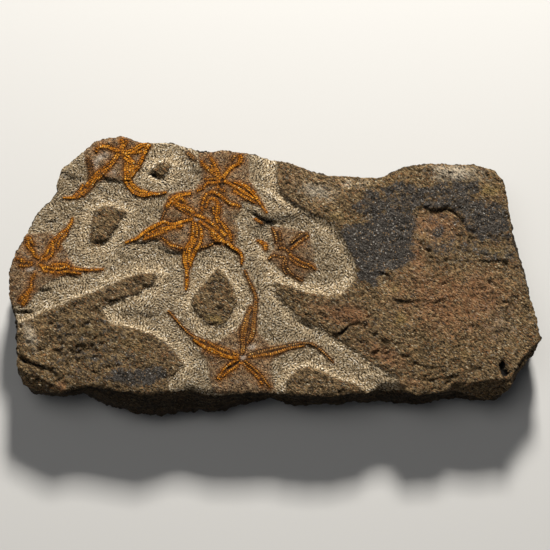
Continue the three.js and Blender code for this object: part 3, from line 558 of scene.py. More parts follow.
# Furrows between the strips and in the mouths, painted dark with shade: half-width, and the line of each.
furrows = [
    (0.6, [(-94, 70.6), (-91.5, 70), (-89, 68.7)]), (0.4, [(-83.5, 50.3), (-80, 50.3)]),
    (0.8, [(-95, 52.8), (-92.8, 51.6)]), (0.5, [(-83.7, 71.2), (-83.3, 72.4)]),
    (0.45, [(-88, 65), (-90, 61), (-93.2, 57.7), (-95.3, 56.5)]), (0.35, [(-124, 0.9), (-116, 0.5)]),
    (0.5, [(-114.5, -1.8), (-108.5, -3.6)]), (0.45, [(-127.4, 7.5), (-126.5, 7.5)]),
    (0.45, [(-122.8, 15), (-121, 16.5)]),
    (0.45, [(-136, 17), (-134.8, 14.5), (-133.5, 12), (-132.3, 11)]),
    (0.7, [(-132.3, 1.1), (-131.7, 0.5)]), (0.5, [(-36, 50.5), (-32.7, 50.5)]),
    (0.4, [(-25, 50), (-21.5, 48), (-18, 46), (-14.5, 43.8), (-11.3, 41), (-9, 38), (-6, 35)]),
    (0.6, [(-29, 49.4), (-28.2, 49)]), (0.8, [(-30.5, 47.2), (-29.7, 46.8)]),
    (0.5, [(-31.4, 54.2), (-31, 54.7)]), (0.4, [(-54, 34.4), (-49, 32), (-45.8, 30)]),
    (0.4, [(-65, 23), (-68.3, 21.6), (-70.7, 20.4)]),
    (0.6, [(-51, 28.9), (-54, 27.9), (-56, 27.4), (-59, 28.2), (-60.5, 28.6)]),
    (0.5, [(-27.6, 15), (-25, 12.9), (-23, 11.4), (-20, 9.2)]), (0.6, [(-32.3, 25), (-31.7, 24.4)]),
    (0.6, [(-28.2, 16.9), (-27.8, 16.3)]),
    (0.5, [(-33.5, 41.9), (-31, 41), (-29, 39), (-26.5, 37), (-24.5, 36)]),
    (0.4, [(-31.5, 44.2), (-29, 43), (-27.3, 41.2), (-25, 38.9)]),
    (0.6, [(-36, 17.6), (-33.5, 15.3), (-30, 14.7)]), (0.6, [(-67.5, 17.2), (-64.5, 16.7)]),
    (0.5, [(-76, 15.9), (-71.5, 15.6)]), (0.75, [(8.1, 14), (10.1, 15.4), (12.1, 17), (14.7, 18)]),
    (0.8, [(-11.3, 32), (-8, 29.6), (-4.6, 28.1), (-1.6, 27.6)]),
    (0.4, [(11.7, 18.8), (13.4, 20.4), (14.7, 21.6), (16.7, 20)]),
    (0.7, [(12, 8), (14.4, 6.7), (16.7, 5.6), (19, 4.8)]), (0.8, [(1.5, 11.8), (2.3, 12)]),
    (0.8, [(3.3, 16.9), (3.8, 16.5)]), (0.9, [(6.3, 13.2), (7.4, 12.9)]),
    (0.5, [(4.2, 14.3), (4.8, 14.1)]),
    (0.3, [(-9.3, -20.2), (-9.2, -15.2), (-10.6, -11.5), (-12.5, -7.7), (-15, -2.7)]),
    (0.9, [(-19.4, -50.3), (-22.6, -52), (-25.8, -53.8)]),
    (0.4, [(-17.3, -50.1), (-14.2, -52.9), (-11.1, -55.6), (-9.3, -57.4)]),
    (0.6, [(16.8, -24), (21.8, -27.2)]), (0.5, [(12.5, -27.7), (20, -31.4)]),
]
all_arms = [strip for strips in stars.values() for strip in strips]
all_arms += list(loose_arms.values()) + stains
FAR_FROM_ARMS = -60.0


def over_arms(at):
    """How far inside the nearest arm each point lies, in mm, and how rusty that arm is."""
    depth = np.full(at.shape[:-1], FAR_FROM_ARMS)
    rust = np.zeros_like(depth)
    for rusty, stations in all_arms:
        line = np.array(stations, float)
        gap, _, place = to_line(at, line[:, :2])
        half = np.interp(place, np.linspace(0, 1, len(line)), line[:, 2])
        nearer = half - gap > depth
        depth = np.where(nearer, half - gap, depth)
        rust = np.where(nearer, rusty, rust)
    return depth, rust


def soft(at, patch):
    """How strongly each point lies in a soft-edged ellipse."""
    (cx, cy), (along, wide), turn, strength = patch
    c, s = math.cos(math.radians(turn)), math.sin(math.radians(turn))
    dx, dy = at[..., 0] - cx, at[..., 1] - cy
    return strength * np.exp(-((dx * c + dy * s) / along) ** 2 - ((dy * c - dx * s) / wide) ** 2)


def scraped_distance(at):
    """Distance into the scraped ground, negative on stone left standing."""
    ground = inside(at, prepared_ground)
    for outline in standing_stone.values():
        ground = np.minimum(ground, -inside(at, outline))
    return ground


def split_bedding(at, scraped, bedded):
    """Height in mm of the bedding as it split, and how open its hairline cracks are."""
    x, y = at[..., 0], at[..., 1]
    height = FACE_HEIGHT + BROAD_SWELL * np.sin(x / 41 + 0.6) * np.cos(y / 33 - 0.4)
    height += SLANT_SWELL * np.sin((x + 2 * y) / 29)
    height += 0.45 * rough(at, 22, seed=3.0) * (1 - 0.5 * scraped) + 0.35 * rough(at, 8, seed=7.0)
    streaked = at @ ALONG_GRAIN
    height += (0.5 - 0.15 * scraped) * rough(streaked, 3.2, octaves=4, seed=9.0) * (1 - bedded)
    # Thin beds come away in steps, and the front left of the block is the most broken.
    rugged = (1 + soft(at, most_broken)) * (1 - scraped)
    beds = BED_STEPS * rough(streaked, 12, octaves=4, seed=13.0)
    risers = ease((beds - np.floor(beds) - 0.35) / 0.3)
    stepped = BED_RELIEF * (np.floor(beds) + risers) / BED_STEPS
    height += rugged * (stepped + 0.25 * rough(at, 2.2, seed=15.0))
    # Hairline cracks wander along the grain, some of them deep enough to cast a shadow; the deepest are also
    # lined with painted shade.
    grain = np.abs(rough(streaked, 9, octaves=3, seed=41.0))
    hairline = np.exp(-(grain / HAIRLINE_BAND) ** 2)
    split = hairline * ease(3 * rough(at, 14, seed=43.0) + 0.3) * (1 - scraped)
    height += 0.8 * (np.clip(grain, 0, 0.4) - 0.2) * rugged - HAIRLINE_DEPTH * split
    return height, split


def broken_away(at, height, crack, wander):
    """Takes ledges, hollows, furrows and fallen corners off the height, and marks the painted shade along
    them.

    A dark line of painted shade shows where the measure is under 0.85, and it is solid under 0.15.
    """
    frayed = at + (0.5 * wander + 0.5 * rough(at, 1.7, seed=47.0))[..., None] * (1, -1)
    for drop, line in ledges:
        gap, side, place = to_line(frayed, curved(line, 4))
        fade = np.sin(np.pi * np.clip(place, 0.04, 0.96)) ** 0.5
        step = 0.5 * drop * np.tanh(side * gap / LEDGE_RISER) * np.exp(-gap / LEDGE_REACH)
        height += fade * (step - UNDERCUT * drop * np.exp(-(gap / UNDERCUT_WIDTH) ** 2))
        crack = np.minimum(crack, gap + 1.4 - 0.8 * fade * min(drop, 1.75))
    for hollow in hollows:
        sunk = soft(frayed, hollow)
        height -= sunk
        crack = np.minimum(crack, 1.9 - 0.9 * sunk)
    for half, line in furrows:
        gap = to_line(at, line)[0]
        height -= FURROW_DEPTH * np.exp(-(gap / half) ** 2)
        crack = np.minimum(crack, 0.1 + 0.75 * gap / half)
    for slope, outline in falls:
        height -= slope * np.clip(inside(at, outline) + 0.6 * wander, 0, FALL_WIDTH)
    return height, crack


def relief(at):
    """Height of the face at each point in mm, and the measures its colours go by."""
    wander = OUTLINE_WANDER * rough(at, 5.0)
    ground = scraped_distance(at)
    # A wall that faces the far side is cut deep, one that faces the near side hardly at all.
    farther, nearer = (scraped_distance(at + (0, step)) for step in (WALL_PROBE, -WALL_PROBE))
    facing = (farther - nearer) / (2 * WALL_PROBE)
    facing *= np.exp(-np.clip(ground, 0, 30) / 6)
    ground = ground + wander
    skin = np.max([inside(at, outline) for outline in disc_skins], axis=0) + 0.6 * wander
    arm, rust = over_arms(at)
    crust = [np.minimum(inside(at, outline), most) for most, outline in dark_crusts]
    crust = np.max(crust, axis=0) + 1.5 * wander
    scraped = ease((ground + 1.5) / 4)
    skinned = ease((skin + 1.2) / 2.4) * scraped
    bedded = ease((arm + 1.2) / 1.4)
    height, split = split_bedding(at, scraped, bedded)
    height -= (SCRAPED_DEPTH + FAR_WALL_DEPTH * facing) * scraped
    arm_height = ARM_HEIGHT + ARM_HEIGHT_OFF_SKIN * (1 - skinned)
    height += SKIN_THICKNESS * skinned + bedded * scraped * arm_height
    height -= BOWL_DEPTH * ease((inside(at, bowl) + 2.5) / 6)
    height -= LEVELLED_SHARE * np.clip(height - LEVELLING_OFF, 0, None)
    height, crack = broken_away(at, height, NO_CRACK_SHADE - 8.3 * split, wander)
    measures = {"ground": ground, "skin": skin, "arm": arm, "rust": rust, "crack": crack, "crust": crust}
    patches = {"red": red_tints, "olive": olive_tints, "pale": pale_tints, "tone": tone_and_shade_patches}
    measures |= {name: sum(soft(at, patch) for patch in spots) for name, spots in patches.items()}
    return height, measures


# ---- The sandstone slab: its mesh ----------------------------------------------------
# The sides are the rough break through the block. They bulge a little below the face,
# and the front side has a foot that stands well out. The underside is a flat split.
front_foot = [
    (-150, 0), (-107, 0), (-93, 7.5), (-79, 9.5), (-55, 12.5), (-36, 11.5), (-26, 7.5), (-14, 4),
    (-3, 1), (12, 5), (28, 2), (64, 6), (86, 4), (102, 0.5), (150, 0),
]
SIDE_ROWS = 14
ROW_SPACING = 0.9
OUTWARD_SPAN = 8
SMOOTHED_OVER = 25
SMOOTHED_BELOW = 7
UNDER_EVERY = (4, 5)
# How deep the arris is worn and chipped, and how far in from the edge, in mm.
WORN_DEPTH, WORN_REACH = 0.9, 1.1
CHIP_DEPTH, CHIP_REACH = 0.8, 3.5
# Lumps on the sides: how high in mm, how wide in mm, and their seed.
side_lumps = [(1.3, 11, 29.0), (0.8, 3.5, 31.0)]
# They grow in over this many mm below the arris, and die out over this many last rows.
LUMPS_IN, LUMPS_OUT = 3, 2
# Worn and standing beds on the sides, drawn out level, and how far the sides are set back.
BED_EDGES = 1.1
DRAWN_OUT = (0.05, 0.05, 1)
SET_BACK = 0.6
UNDER_HEIGHT, UNDER_LUMPS, UNDER_MOST = 0.25, 0.2, 0.6
side_levels = {
    "z": (0, 3, 13, 25, 31, 36), "inset": (2.6, 0.8, 0.2, 0.1, 0, 0),
    "bow": (0, 0.5, 1, 0.8, 0.2, 0), "front": (0.25, 0.6, 1, 0.55, 0.1, 0),
}
EDGE_BOW = 1.2

height, distances = relief(face)
to_edge = np.abs(inside(face, edge))
height -= WORN_DEPTH * np.exp(-to_edge / WORN_REACH)
height -= CHIP_DEPTH * np.clip(rough(face, 6.0, seed=17.0), 0, 1) * np.exp(-to_edge / CHIP_REACH)
points = [np.concatenate([face, height[..., None]], axis=-1).reshape(-1, 3)]

grid = np.arange((FACE_COLUMNS + 1) * (FACE_ROWS + 1)).reshape(FACE_ROWS + 1, FACE_COLUMNS + 1)
quads = np.stack([grid[:-1, :-1], grid[:-1, 1:], grid[1:, 1:], grid[1:, :-1]], axis=-1)
faces = quads.reshape(-1, 4).tolist()
rim = np.concatenate([grid[0, :-1], grid[:-1, -1], grid[-1, :0:-1], grid[:0:-1, 0]])
rim_points = points[0][rim]
out = outward(np.roll(rim_points[:, :2], -OUTWARD_SPAN, axis=0)
              - np.roll(rim_points[:, :2], OUTWARD_SPAN, axis=0))

# Below the arris the sides follow a smoothed rim, so that its nibbles don't run down them.
half_span = SMOOTHED_OVER // 2
wrapped = np.concatenate([rim_points[-half_span:, :2], rim_points[:, :2], rim_points[:half_span, :2]])
window = np.ones(SMOOTHED_OVER) / SMOOTHED_OVER
smoothed = np.stack([np.convolve(column, window, mode="valid") for column in wrapped.T], axis=-1)

above = rim
for row in range(1, SIDE_ROWS + 1):
    level = rim_points[:, 2] * (1 - row / SIDE_ROWS) ** ROW_SPACING
    inset, bow, foot = (np.interp(level, side_levels["z"], side_levels[k])
                        for k in ("inset", "bow", "front"))
    reach = EDGE_BOW * bow - inset
    below = np.clip((rim_points[:, 2] - level) / SMOOTHED_BELOW, 0, 1)[:, None]
    followed = rim_points[:, :2] * (1 - below) + smoothed * below
    place = np.concatenate([followed + out * reach[:, None], level[:, None]], axis=1)
    standing_out = np.interp(rim_points[:, 0], *np.array(front_foot).T)
    place[:, 1] -= foot * standing_out * np.clip(-out[:, 1], 0, 1)
    depth = np.minimum(1, (rim_points[:, 2] - level) / LUMPS_IN) * min(1, (SIDE_ROWS - row) / LUMPS_OUT)
    beds = np.tanh(3 * rough(place * DRAWN_OUT, 6, seed=23.0))
    lumps = sum(high * rough(place, wide, seed=seed) for high, wide, seed in side_lumps)
    place[:, :2] += out * (depth * (lumps + BED_EDGES * beds - SET_BACK))[:, None]
    points.append(place)
    ring = np.arange(len(rim)) + len(points[0]) + (row - 1) * len(rim)
    faces += np.stack([np.roll(above, -1), above, ring, np.roll(ring, -1)], axis=-1).tolist()
    above = ring

# The underside is a coarser sheet hung from every fourth or fifth point of the last row.
step_x, step_y = UNDER_EVERY
columns, rows = FACE_COLUMNS // step_x, FACE_ROWS // step_y
last = points[-1][:, :2]
front_end, right_end, back_end = FACE_COLUMNS, FACE_COLUMNS + FACE_ROWS, 2 * FACE_COLUMNS + FACE_ROWS
around = np.concatenate([last, last[:1]])
low = around[0:front_end + 1:step_x]
far = around[front_end:right_end + 1:step_y]
high = around[right_end:back_end + 1:step_x][::-1]
near = around[back_end:len(rim) + 1:step_y][::-1]
under = stretched(low, high, near, far, across[::step_x], up[::step_y])
under_height = np.clip(UNDER_HEIGHT + UNDER_LUMPS * rough(under, 12, seed=37.0), 0, UNDER_MOST)
under_points = np.concatenate([under, under_height[..., None]], axis=-1)
under_grid = np.full((rows + 1, columns + 1), -1)
under_grid[1:-1, 1:-1] = np.arange((rows - 1) * (columns - 1)).reshape(rows - 1, columns - 1)
under_grid[1:-1, 1:-1] += sum(len(part) for part in points)
points.append(under_points[1:-1, 1:-1].reshape(-1, 3))


def rim_place(i, j):
    """Place round the last row of an outer corner of the underside's sheet."""
    if j == 0:
        return i * step_x
    if i == columns:
        return front_end + j * step_y
    if j == rows:
        return right_end + (columns - i) * step_x
    return back_end + (rows - j) * step_y


def on_rim(i, j):
    return i in (0, columns) or j in (0, rows)


for j in range(rows):
    for i in range(columns):
        corners = [(i, j), (i + 1, j), (i + 1, j + 1), (i, j + 1)]
        polygon = []
        for (ai, aj), (bi, bj) in zip(corners, corners[1:] + corners[:1]):
            if not on_rim(ai, aj):
                polygon.append(under_grid[aj, ai])
                continue
            start = rim_place(ai, aj)
            polygon.append(above[start % len(rim)])
            same_side = on_rim(bi, bj) and (aj == bj in (0, rows) or ai == bi in (0, columns))
            if same_side:
                end = rim_place(bi, bj) or len(rim)
                polygon += [above[k] for k in range(start + 1, end)]
        faces.append([int(corner) for corner in polygon[::-1]])

slab_mesh = bpy.data.meshes.new("stone_slab_surface")
slab_mesh.from_pydata((np.concatenate(points) * MM).tolist(), [], faces)
slab_mesh.validate()
slab_mesh.polygons.foreach_set("use_smooth", [True] * len(slab_mesh.polygons))
# The sides and the underside are plain broken stone, far from anything on the face.
OUTSIDE = -9.0
# The sides and the underside are darkened to about a quarter: painted shade.
SIDE_SHADE_TONE = -1.9
MOST_STORED = 12
below_face = dict.fromkeys(distances, 0.0)
below_face |= dict.fromkeys(("ground", "skin", "arm", "crust"), OUTSIDE)
below_face |= {"crack": NO_CRACK_SHADE, "tone": SIDE_SHADE_TONE}
for name, values in distances.items():
    stored = np.full(len(slab_mesh.vertices), below_face[name])
    stored[:values.size] = np.clip(values.ravel(), -MOST_STORED, MOST_STORED)
    slab_mesh.attributes.new(name, "FLOAT", "POINT").data.foreach_set("value", stored)
slab = bpy.data.objects.new("sandstone_slab", slab_mesh)
bpy.context.collection.objects.link(slab)


# ---- The sandstone slab: its finish --------------------------------------------------
# Brown fine-grained sandstone. The scraped ground is paler and covered in small pick
# strokes, the skins between the arms are purple-brown, and rust has bled from the arms.
def node(tree, kind, inputs=None, out=0, **options):
    """Adds a node, sets its options and inputs, and gives the chosen output."""
    made = tree.nodes.new(kind)
    for key, value in options.items():
        setattr(made, key, value)
    for key, value in (inputs or {}).items():
        if isinstance(value, bpy.types.NodeSocket):
            tree.links.new(value, made.inputs[key])
        else:
            made.inputs[key].default_value = value
    return made.outputs[out]


def calc(tree, operation, *values):
    return node(tree, "ShaderNodeMath", dict(enumerate(values)), operation=operation)


def rise(tree, value, low, high):
    """0 below low, 1 above high and smooth between them."""
    ends = {"Value": value, "From Min": low, "From Max": high}
    return node(tree, "ShaderNodeMapRange", ends, interpolation_type="SMOOTHSTEP")


def mixed(tree, share, first, second):
    """Two colours mixed by a share."""
    inputs = {"Factor": share, 6: first, 7: second}
    return node(tree, "ShaderNodeMix", inputs, out=2, data_type="RGBA")


def painted(tree, base, mask, strength, paint):
    """A colour with another laid over it where the mask shows, at the given strength."""
    return mixed(tree, calc(tree, "MULTIPLY", mask, strength), base, paint)


def scaled(tree, paint, amount):
    """A colour made lighter or darker by an amount."""
    return node(tree, "ShaderNodeVectorMath", {0: paint, "Scale": amount}, operation="SCALE")


def colour(red, green, blue):
    """A colour from the levels a screen shows, 0 to 255."""
    levels = [level / 255 for level in (red, green, blue)]
    return [v / 12.92 if v <= 0.04045 else ((v + 0.055) / 1.055) ** 2.4 for v in levels] + [1]


def noise_at(tree, place, size, detail=2.0, roughness=0.55):
    """Noise with features of the given size in mm."""
    inputs = {"Vector": place, "Scale": 1 / (size * MM), "Detail": detail, "Roughness": roughness}
    return node(tree, "ShaderNodeTexNoise", inputs)


def attribute(tree, name):
    return node(tree, "ShaderNodeAttribute", out="Fac", attribute_name=name)


def new_material(name, roughness, specular):
    material = bpy.data.materials.new(name)
    material.use_nodes = True
    shader = material.node_tree.nodes["Principled BSDF"]
    shader.inputs["Roughness"].default_value = roughness
    shader.inputs["Specular IOR Level"].default_value = specular
    return material, material.node_tree, shader


def group(name, inputs, outputs):
    """An empty shader node group with named sockets, and its input and output nodes."""
    tree = bpy.data.node_groups.new(name, "ShaderNodeTree")
    for names, in_out in ((inputs, "INPUT"), (outputs, "OUTPUT")):
        for socket_name, kind in names.items():
            tree.interface.new_socket(socket_name, in_out=in_out, socket_type="NodeSocket" + kind)
    return tree, tree.nodes.new("NodeGroupInput"), tree.nodes.new("NodeGroupOutput")


# Sand grains stand up in the middle and each has a tone of its own at random. The low ground round them gives
# the mask for painted shade in their pores.
sand_grain, given, result = group("sand_grain", {"Place": "Vector", "Per metre": "Float"},
                                  {"Lumps": "Float", "Pore shade": "Float", "Shade": "Float"})
sized = node(sand_grain, "ShaderNodeVectorMath",
             {0: given.outputs["Place"], "Scale": given.outputs["Per metre"]}, operation="SCALE")
swirl = node(sand_grain, "ShaderNodeTexNoise",
             {"Vector": sized, "Scale": 0.55, "Detail": 3.0, "Roughness": 0.7, "Distortion": 0.3})
cells = node(sand_grain, "ShaderNodeTexVoronoi", {"Vector": sized, "Scale": 1.0}, out="Distance",
             feature="F1")
fine = node(sand_grain, "ShaderNodeTexNoise",
            {"Vector": sized, "Scale": 1.9, "Detail": 1.0, "Roughness": 0.6})
lumps = calc(sand_grain, "MULTIPLY_ADD", swirl, 1.6, -0.3)
lumps = calc(sand_grain, "MULTIPLY_ADD", cells, -0.8, calc(sand_grain, "ADD", lumps, 0.17))
lumps = calc(sand_grain, "MULTIPLY_ADD", fine, 0.4, lumps)
sand_grain.links.new(lumps, result.inputs["Lumps"])
sand_grain.links.new(rise(sand_grain, lumps, 0.42, 0.2), result.inputs["Pore shade"])
shades = node(sand_grain, "ShaderNodeSeparateColor", {"Color": cells.node.outputs["Color"]})
sand_grain.links.new(shades, result.inputs["Shade"])


def grained(tree, place, size):
    """The sand_grain group, for grains of the given size in mm: its three outputs."""
    made = tree.nodes.new("ShaderNodeGroup")
    made.node_tree = sand_grain
    made.inputs["Per metre"].default_value = 1 / (size * MM)
    tree.links.new(place, made.inputs["Place"])
    return [made.outputs[name] for name in ("Lumps", "Pore shade", "Shade")]


def grain_colours(tree, shade, *steps):
    """Grains of several colours: each step is the colour of the grains from that shade up."""
    made = tree.nodes.new("ShaderNodeValToRGB")
    made.color_ramp.interpolation = "CONSTANT"
    stops = made.color_ramp.elements
    while len(stops) < len(steps):
        stops.new(1.0)
    for stop, (start, paint) in zip(stops, steps):
        stop.position = start
        stop.color = paint
    tree.links.new(shade, made.inputs["Fac"])
    return made.outputs["Color"]


stone, tree, shader = new_material("sandstone", 0.88, 0.2)
place = node(tree, "ShaderNodeTexCoord", out="Object")
wobble = calc(tree, "MULTIPLY_ADD", noise_at(tree, place, 1.6, 3, 0.7), 3.0, -1.5)
patchy = calc(tree, "MULTIPLY_ADD", noise_at(tree, place, 4, 5, 0.75), 16.0, -8.0)


def region(name, low, high, unevenness=wobble):
    return rise(tree, calc(tree, "ADD", attribute(tree, name), unevenness), low, high)


scraped = region("ground", -0.5, 0.7)
skinned = calc(tree, "MULTIPLY", region("skin", -0.9, 0.9), scraped)
rust = attribute(tree, "rust")
into_arm = attribute(tree, "arm")
halo = calc(tree, "MULTIPLY", region("arm", -1.9, 0.3), calc(tree, "MULTIPLY_ADD", rust, 0.8, 0.2))
bled = rise(tree, calc(tree, "MULTIPLY_ADD", patchy, 0.6, into_arm), -3.4, 0.2)
bled = calc(tree, "MULTIPLY", bled, calc(tree, "MULTIPLY", rust, skinned))
bed = rise(tree, calc(tree, "MULTIPLY_ADD", wobble, 0.2, into_arm), -0.75, -0.25)
painted_edge_shade = calc(tree, "MULTIPLY", bed, rise(tree, into_arm, 0.15, -0.25))
crusted = region("crust", -1.3, 1.3, patchy)
painted_crack_shade = rise(tree, calc(tree, "MULTIPLY_ADD", wobble, 0.3, attribute(tree, "crack")), 0.85, 0.15)
speckled = calc(tree, "MULTIPLY", patchy, 0.12)


def tinted(name):
    """How far a soft tint shows at a point, broken up by patches."""
    return rise(tree, calc(tree, "ADD", attribute(tree, name), speckled), 0.15, 0.95)


turned = node(tree, "ShaderNodeMapping",
              {"Vector": place, "Rotation": (0, 0, -0.6), "Scale": (1.9, 0.8, 1)}, vector_type="TEXTURE")
lumps, pore_shade, shade = grained(tree, turned, 0.6)
small_lumps, small_pore_shade, small_shade = grained(tree, place, 0.6)
mottle = noise_at(tree, place, 9, 5, 0.65)
streaks = noise_at(tree, turned, 2.6, 4, 0.7)
grooves = noise_at(tree, turned, 1.3, 3, 0.65)
broad = noise_at(tree, place, 38, 3, 0.5)
grains = grain_colours(tree, shade, (0, colour(40, 31, 20)), (0.15, colour(72, 58, 38)),
                       (0.35, colour(98, 80, 54)), (0.6, colour(126, 104, 72)),
                       (0.76, colour(128, 84, 48)), (0.86, colour(158, 138, 104)),
                       (0.92, colour(108, 106, 100)), (0.975, colour(190, 178, 150)))
brown = mixed(tree, rise(tree, mottle, 0.38, 0.62), colour(64, 50, 31), colour(112, 92, 62))
brown = mixed(tree, rise(tree, broad, 0.42, 0.6), brown, colour(98, 80, 56))
brown = painted(tree, brown, rise(tree, streaks, 0.5, 0.66), 0.6, colour(126, 106, 74))
brown = mixed(tree, 0.55, brown, grains)
brown = painted(tree, brown, tinted("red"), 0.45, colour(132, 88, 58))
brown = painted(tree, brown, tinted("olive"), 0.55, colour(120, 102, 56))
brown = painted(tree, brown, tinted("pale"), 0.6, colour(158, 150, 134))
brown = scaled(tree, brown, 1.22)
# Lighter where the grooved grain stands high and near black down in the grooves: painted light and shade on
# the bumped grain.
brown = painted(tree, brown, rise(tree, grooves, 0.55, 0.68), 0.55, colour(176, 148, 108))
brown = painted(tree, brown, rise(tree, grooves, 0.46, 0.34), 0.75, colour(30, 21, 12))
# On the broken sides the thin beds show as paler and darker bands.
broken = rise(tree, attribute(tree, "tone"), -1.2, -1.7)
levelled = node(tree, "ShaderNodeMapping", {"Vector": place, "Scale": (0.14, 0.14, 1)})
bands = noise_at(tree, levelled, 2.6, 5, 0.7)
pale_bands = calc(tree, "MULTIPLY", broken, rise(tree, bands, 0.5, 0.66))
dark_bands = calc(tree, "MULTIPLY", broken, rise(tree, bands, 0.48, 0.34))
brown = painted(tree, brown, pale_bands, 0.42, colour(196, 164, 120))
brown = painted(tree, brown, dark_bands, 0.5, colour(34, 25, 15))
# Near black in the pores round the grains: painted shade.
brown = painted(tree, brown, pore_shade, 0.9, colour(12, 8, 4))
crust = grain_colours(tree, small_shade, (0, colour(28, 26, 24)), (0.3, colour(56, 53, 50)),
                      (0.6, colour(84, 81, 78)), (0.82, colour(110, 106, 100)),
                      (0.92, colour(140, 112, 78)), (0.975, colour(186, 182, 174)))
crust = mixed(tree, 0.35, crust, colour(64, 60, 56))
# The crust's pores are painted near black: painted shade.
crust = painted(tree, crust, small_pore_shade, 0.9, colour(8, 7, 6))
brown = painted(tree, brown, crusted, 0.94, crust)

sweep = calc(tree, "MULTIPLY", noise_at(tree, place, 16, 1, 0.4), 9.0)
stroke_inputs = {"Vector": place, "Scale": 430.0, "Frequency": 1.6, "Anisotropy": 0.72,
                 "Orientation": sweep}
strokes = node(tree, "ShaderNodeTexGabor", stroke_inputs, out="Value")
strokes = calc(tree, "MULTIPLY_ADD", calc(tree, "SUBTRACT", strokes, 0.5), 0.9,
               calc(tree, "MULTIPLY_ADD", small_lumps, 0.8, 0.1))
chips = grain_colours(tree, small_shade, (0, colour(96, 78, 52)), (0.15, colour(134, 112, 82)),
                      (0.4, colour(168, 148, 116)), (0.75, colour(204, 188, 158)),
                      (0.93, colour(244, 238, 224)))
# Between the pick strokes the chips are painted near black, darker on the slopes and lighter on the crests:
# painted light and shade, the crests partly pale crushed stone too.
shaded_slopes = mixed(tree, 0.5, chips, colour(132, 113, 84))
pale_and_lit_crests = mixed(tree, 0.5, chips, colour(232, 218, 192))
picked = mixed(tree, rise(tree, strokes, 0.16, 0.55), colour(22, 16, 9), shaded_slopes)
picked = mixed(tree, rise(tree, strokes, 0.5, 0.95), picked, pale_and_lit_crests)
# Near the walls of standing stone the scraped ground is painted paler: painted light on the slopes that rise
# to them.
near_wall = rise(tree, calc(tree, "MULTIPLY_ADD", patchy, 0.3, attribute(tree, "ground")), 10.0, 3.0)
painted_wall_light = calc(tree, "MULTIPLY_ADD", near_wall, 0.36, 0.86)
picked = scaled(tree, picked, painted_wall_light)
skin = mixed(tree, rise(tree, mottle, 0.4, 0.6), colour(96, 70, 46), colour(132, 106, 80))
skin = mixed(tree, 0.5, skin, grains)
# The skin is painted lighter on its lumps and darker between them and in its pores: painted light and shade
# on the grain.
skin = mixed(tree, rise(tree, small_lumps, 0.55, 1.0), skin, colour(184, 156, 118))
skin = mixed(tree, rise(tree, small_lumps, 0.42, 0.1), skin, colour(52, 34, 20))
skin = painted(tree, skin, tinted("pale"), 0.6, colour(196, 186, 172))
skin = painted(tree, skin, small_pore_shade, 0.7, colour(30, 20, 12))
ground = mixed(tree, skinned, picked, skin)
base = mixed(tree, scraped, brown, ground)
rusted = mixed(tree, rise(tree, small_lumps, 0.3, 0.85), colour(62, 30, 4), colour(176, 112, 38))
base = painted(tree, base, bled, 0.5, rusted)
base = painted(tree, base, halo, 0.6, rusted)
# The stone under the plates is rust-stained; its darker shades also stand as painted shade in the gaps
# between the plates.
rusted_bed = mixed(tree, rise(tree, small_lumps, 0.25, 0.9), colour(48, 25, 3), colour(176, 108, 28))
plain_bed = mixed(tree, rise(tree, small_lumps, 0.25, 0.9), colour(30, 19, 8), colour(104, 74, 38))
beds = mixed(tree, rise(tree, rust, 0.4, 1.0), plain_bed, rusted_bed)
base = painted(tree, base, bed, 0.85, beds)
# A dark rim round each arm: painted shade along its edges and between close strips.
base = painted(tree, base, painted_edge_shade, 0.55, colour(30, 15, 3))
# The tone scales the colour: on the sides it is painted shade, on the face partly the stone's own tone and
# partly painted light and shade.
tone = calc(tree, "POWER", 2.0, calc(tree, "ADD", attribute(tree, "tone"), speckled))
base = scaled(tree, base, tone)
# Near black along cracks, ledges, hollows and furrows: painted shade.
base = mixed(tree, painted_crack_shade, base, colour(12, 9, 6))
tree.links.new(base, shader.inputs["Base Color"])
coarse = calc(tree, "ADD", lumps, calc(tree, "ADD", streaks, calc(tree, "MULTIPLY", grooves, 1.6)))
coarse = calc(tree, "MULTIPLY_ADD", calc(tree, "MULTIPLY", broken, bands), 5.0, coarse)
coarse = calc(tree, "MULTIPLY", coarse, 0.55)
stroke_bumps = calc(tree, "MULTIPLY", strokes, 0.38)
bumps = node(tree, "ShaderNodeMix", {"Factor": scraped, "A": coarse, "B": stroke_bumps},
             data_type="FLOAT")
bump = node(tree, "ShaderNodeBump", {"Height": bumps, "Distance": MM, "Strength": 1.0})
tree.links.new(bump, shader.inputs["Normal"])
slab_mesh.materials.append(stone)
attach(slab, "root")
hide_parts("stone_slab")

# ---- The brittle stars ---------------------------------------------------------------
# Six fossil brittle stars, still held in the stone. Each arm is one or more strips of small
# rusty plates that lie across it: one row of them in a narrow strip, and two rows side by
# side in a strip 2 mm wide or more.
PLATE_TOP = 0.3
# A plate's section, (along the arm, up), and the stops that it is drawn through: how far
# across the plate, and the share of the section's width and of its height there.
BAR_PROFILE = [(-0.5, -0.7), (-0.5, 0.12), (-0.38, 0.24), (0, PLATE_TOP), (0.36, 0.24), (0.46, 0.1),
               (0.46, -0.7)]
SQUARE = [(0, 0.75, 0.0), (0.2, 0.92, 0.9), (0.8, 0.92, 0.9), (1, 0.75, 0.0)]
TAPERED = [(0, 0.75, 0.0), (0.24, 0.92, 0.9), (0.65, 0.88, 0.75), (1, 0.5, 0.0)]


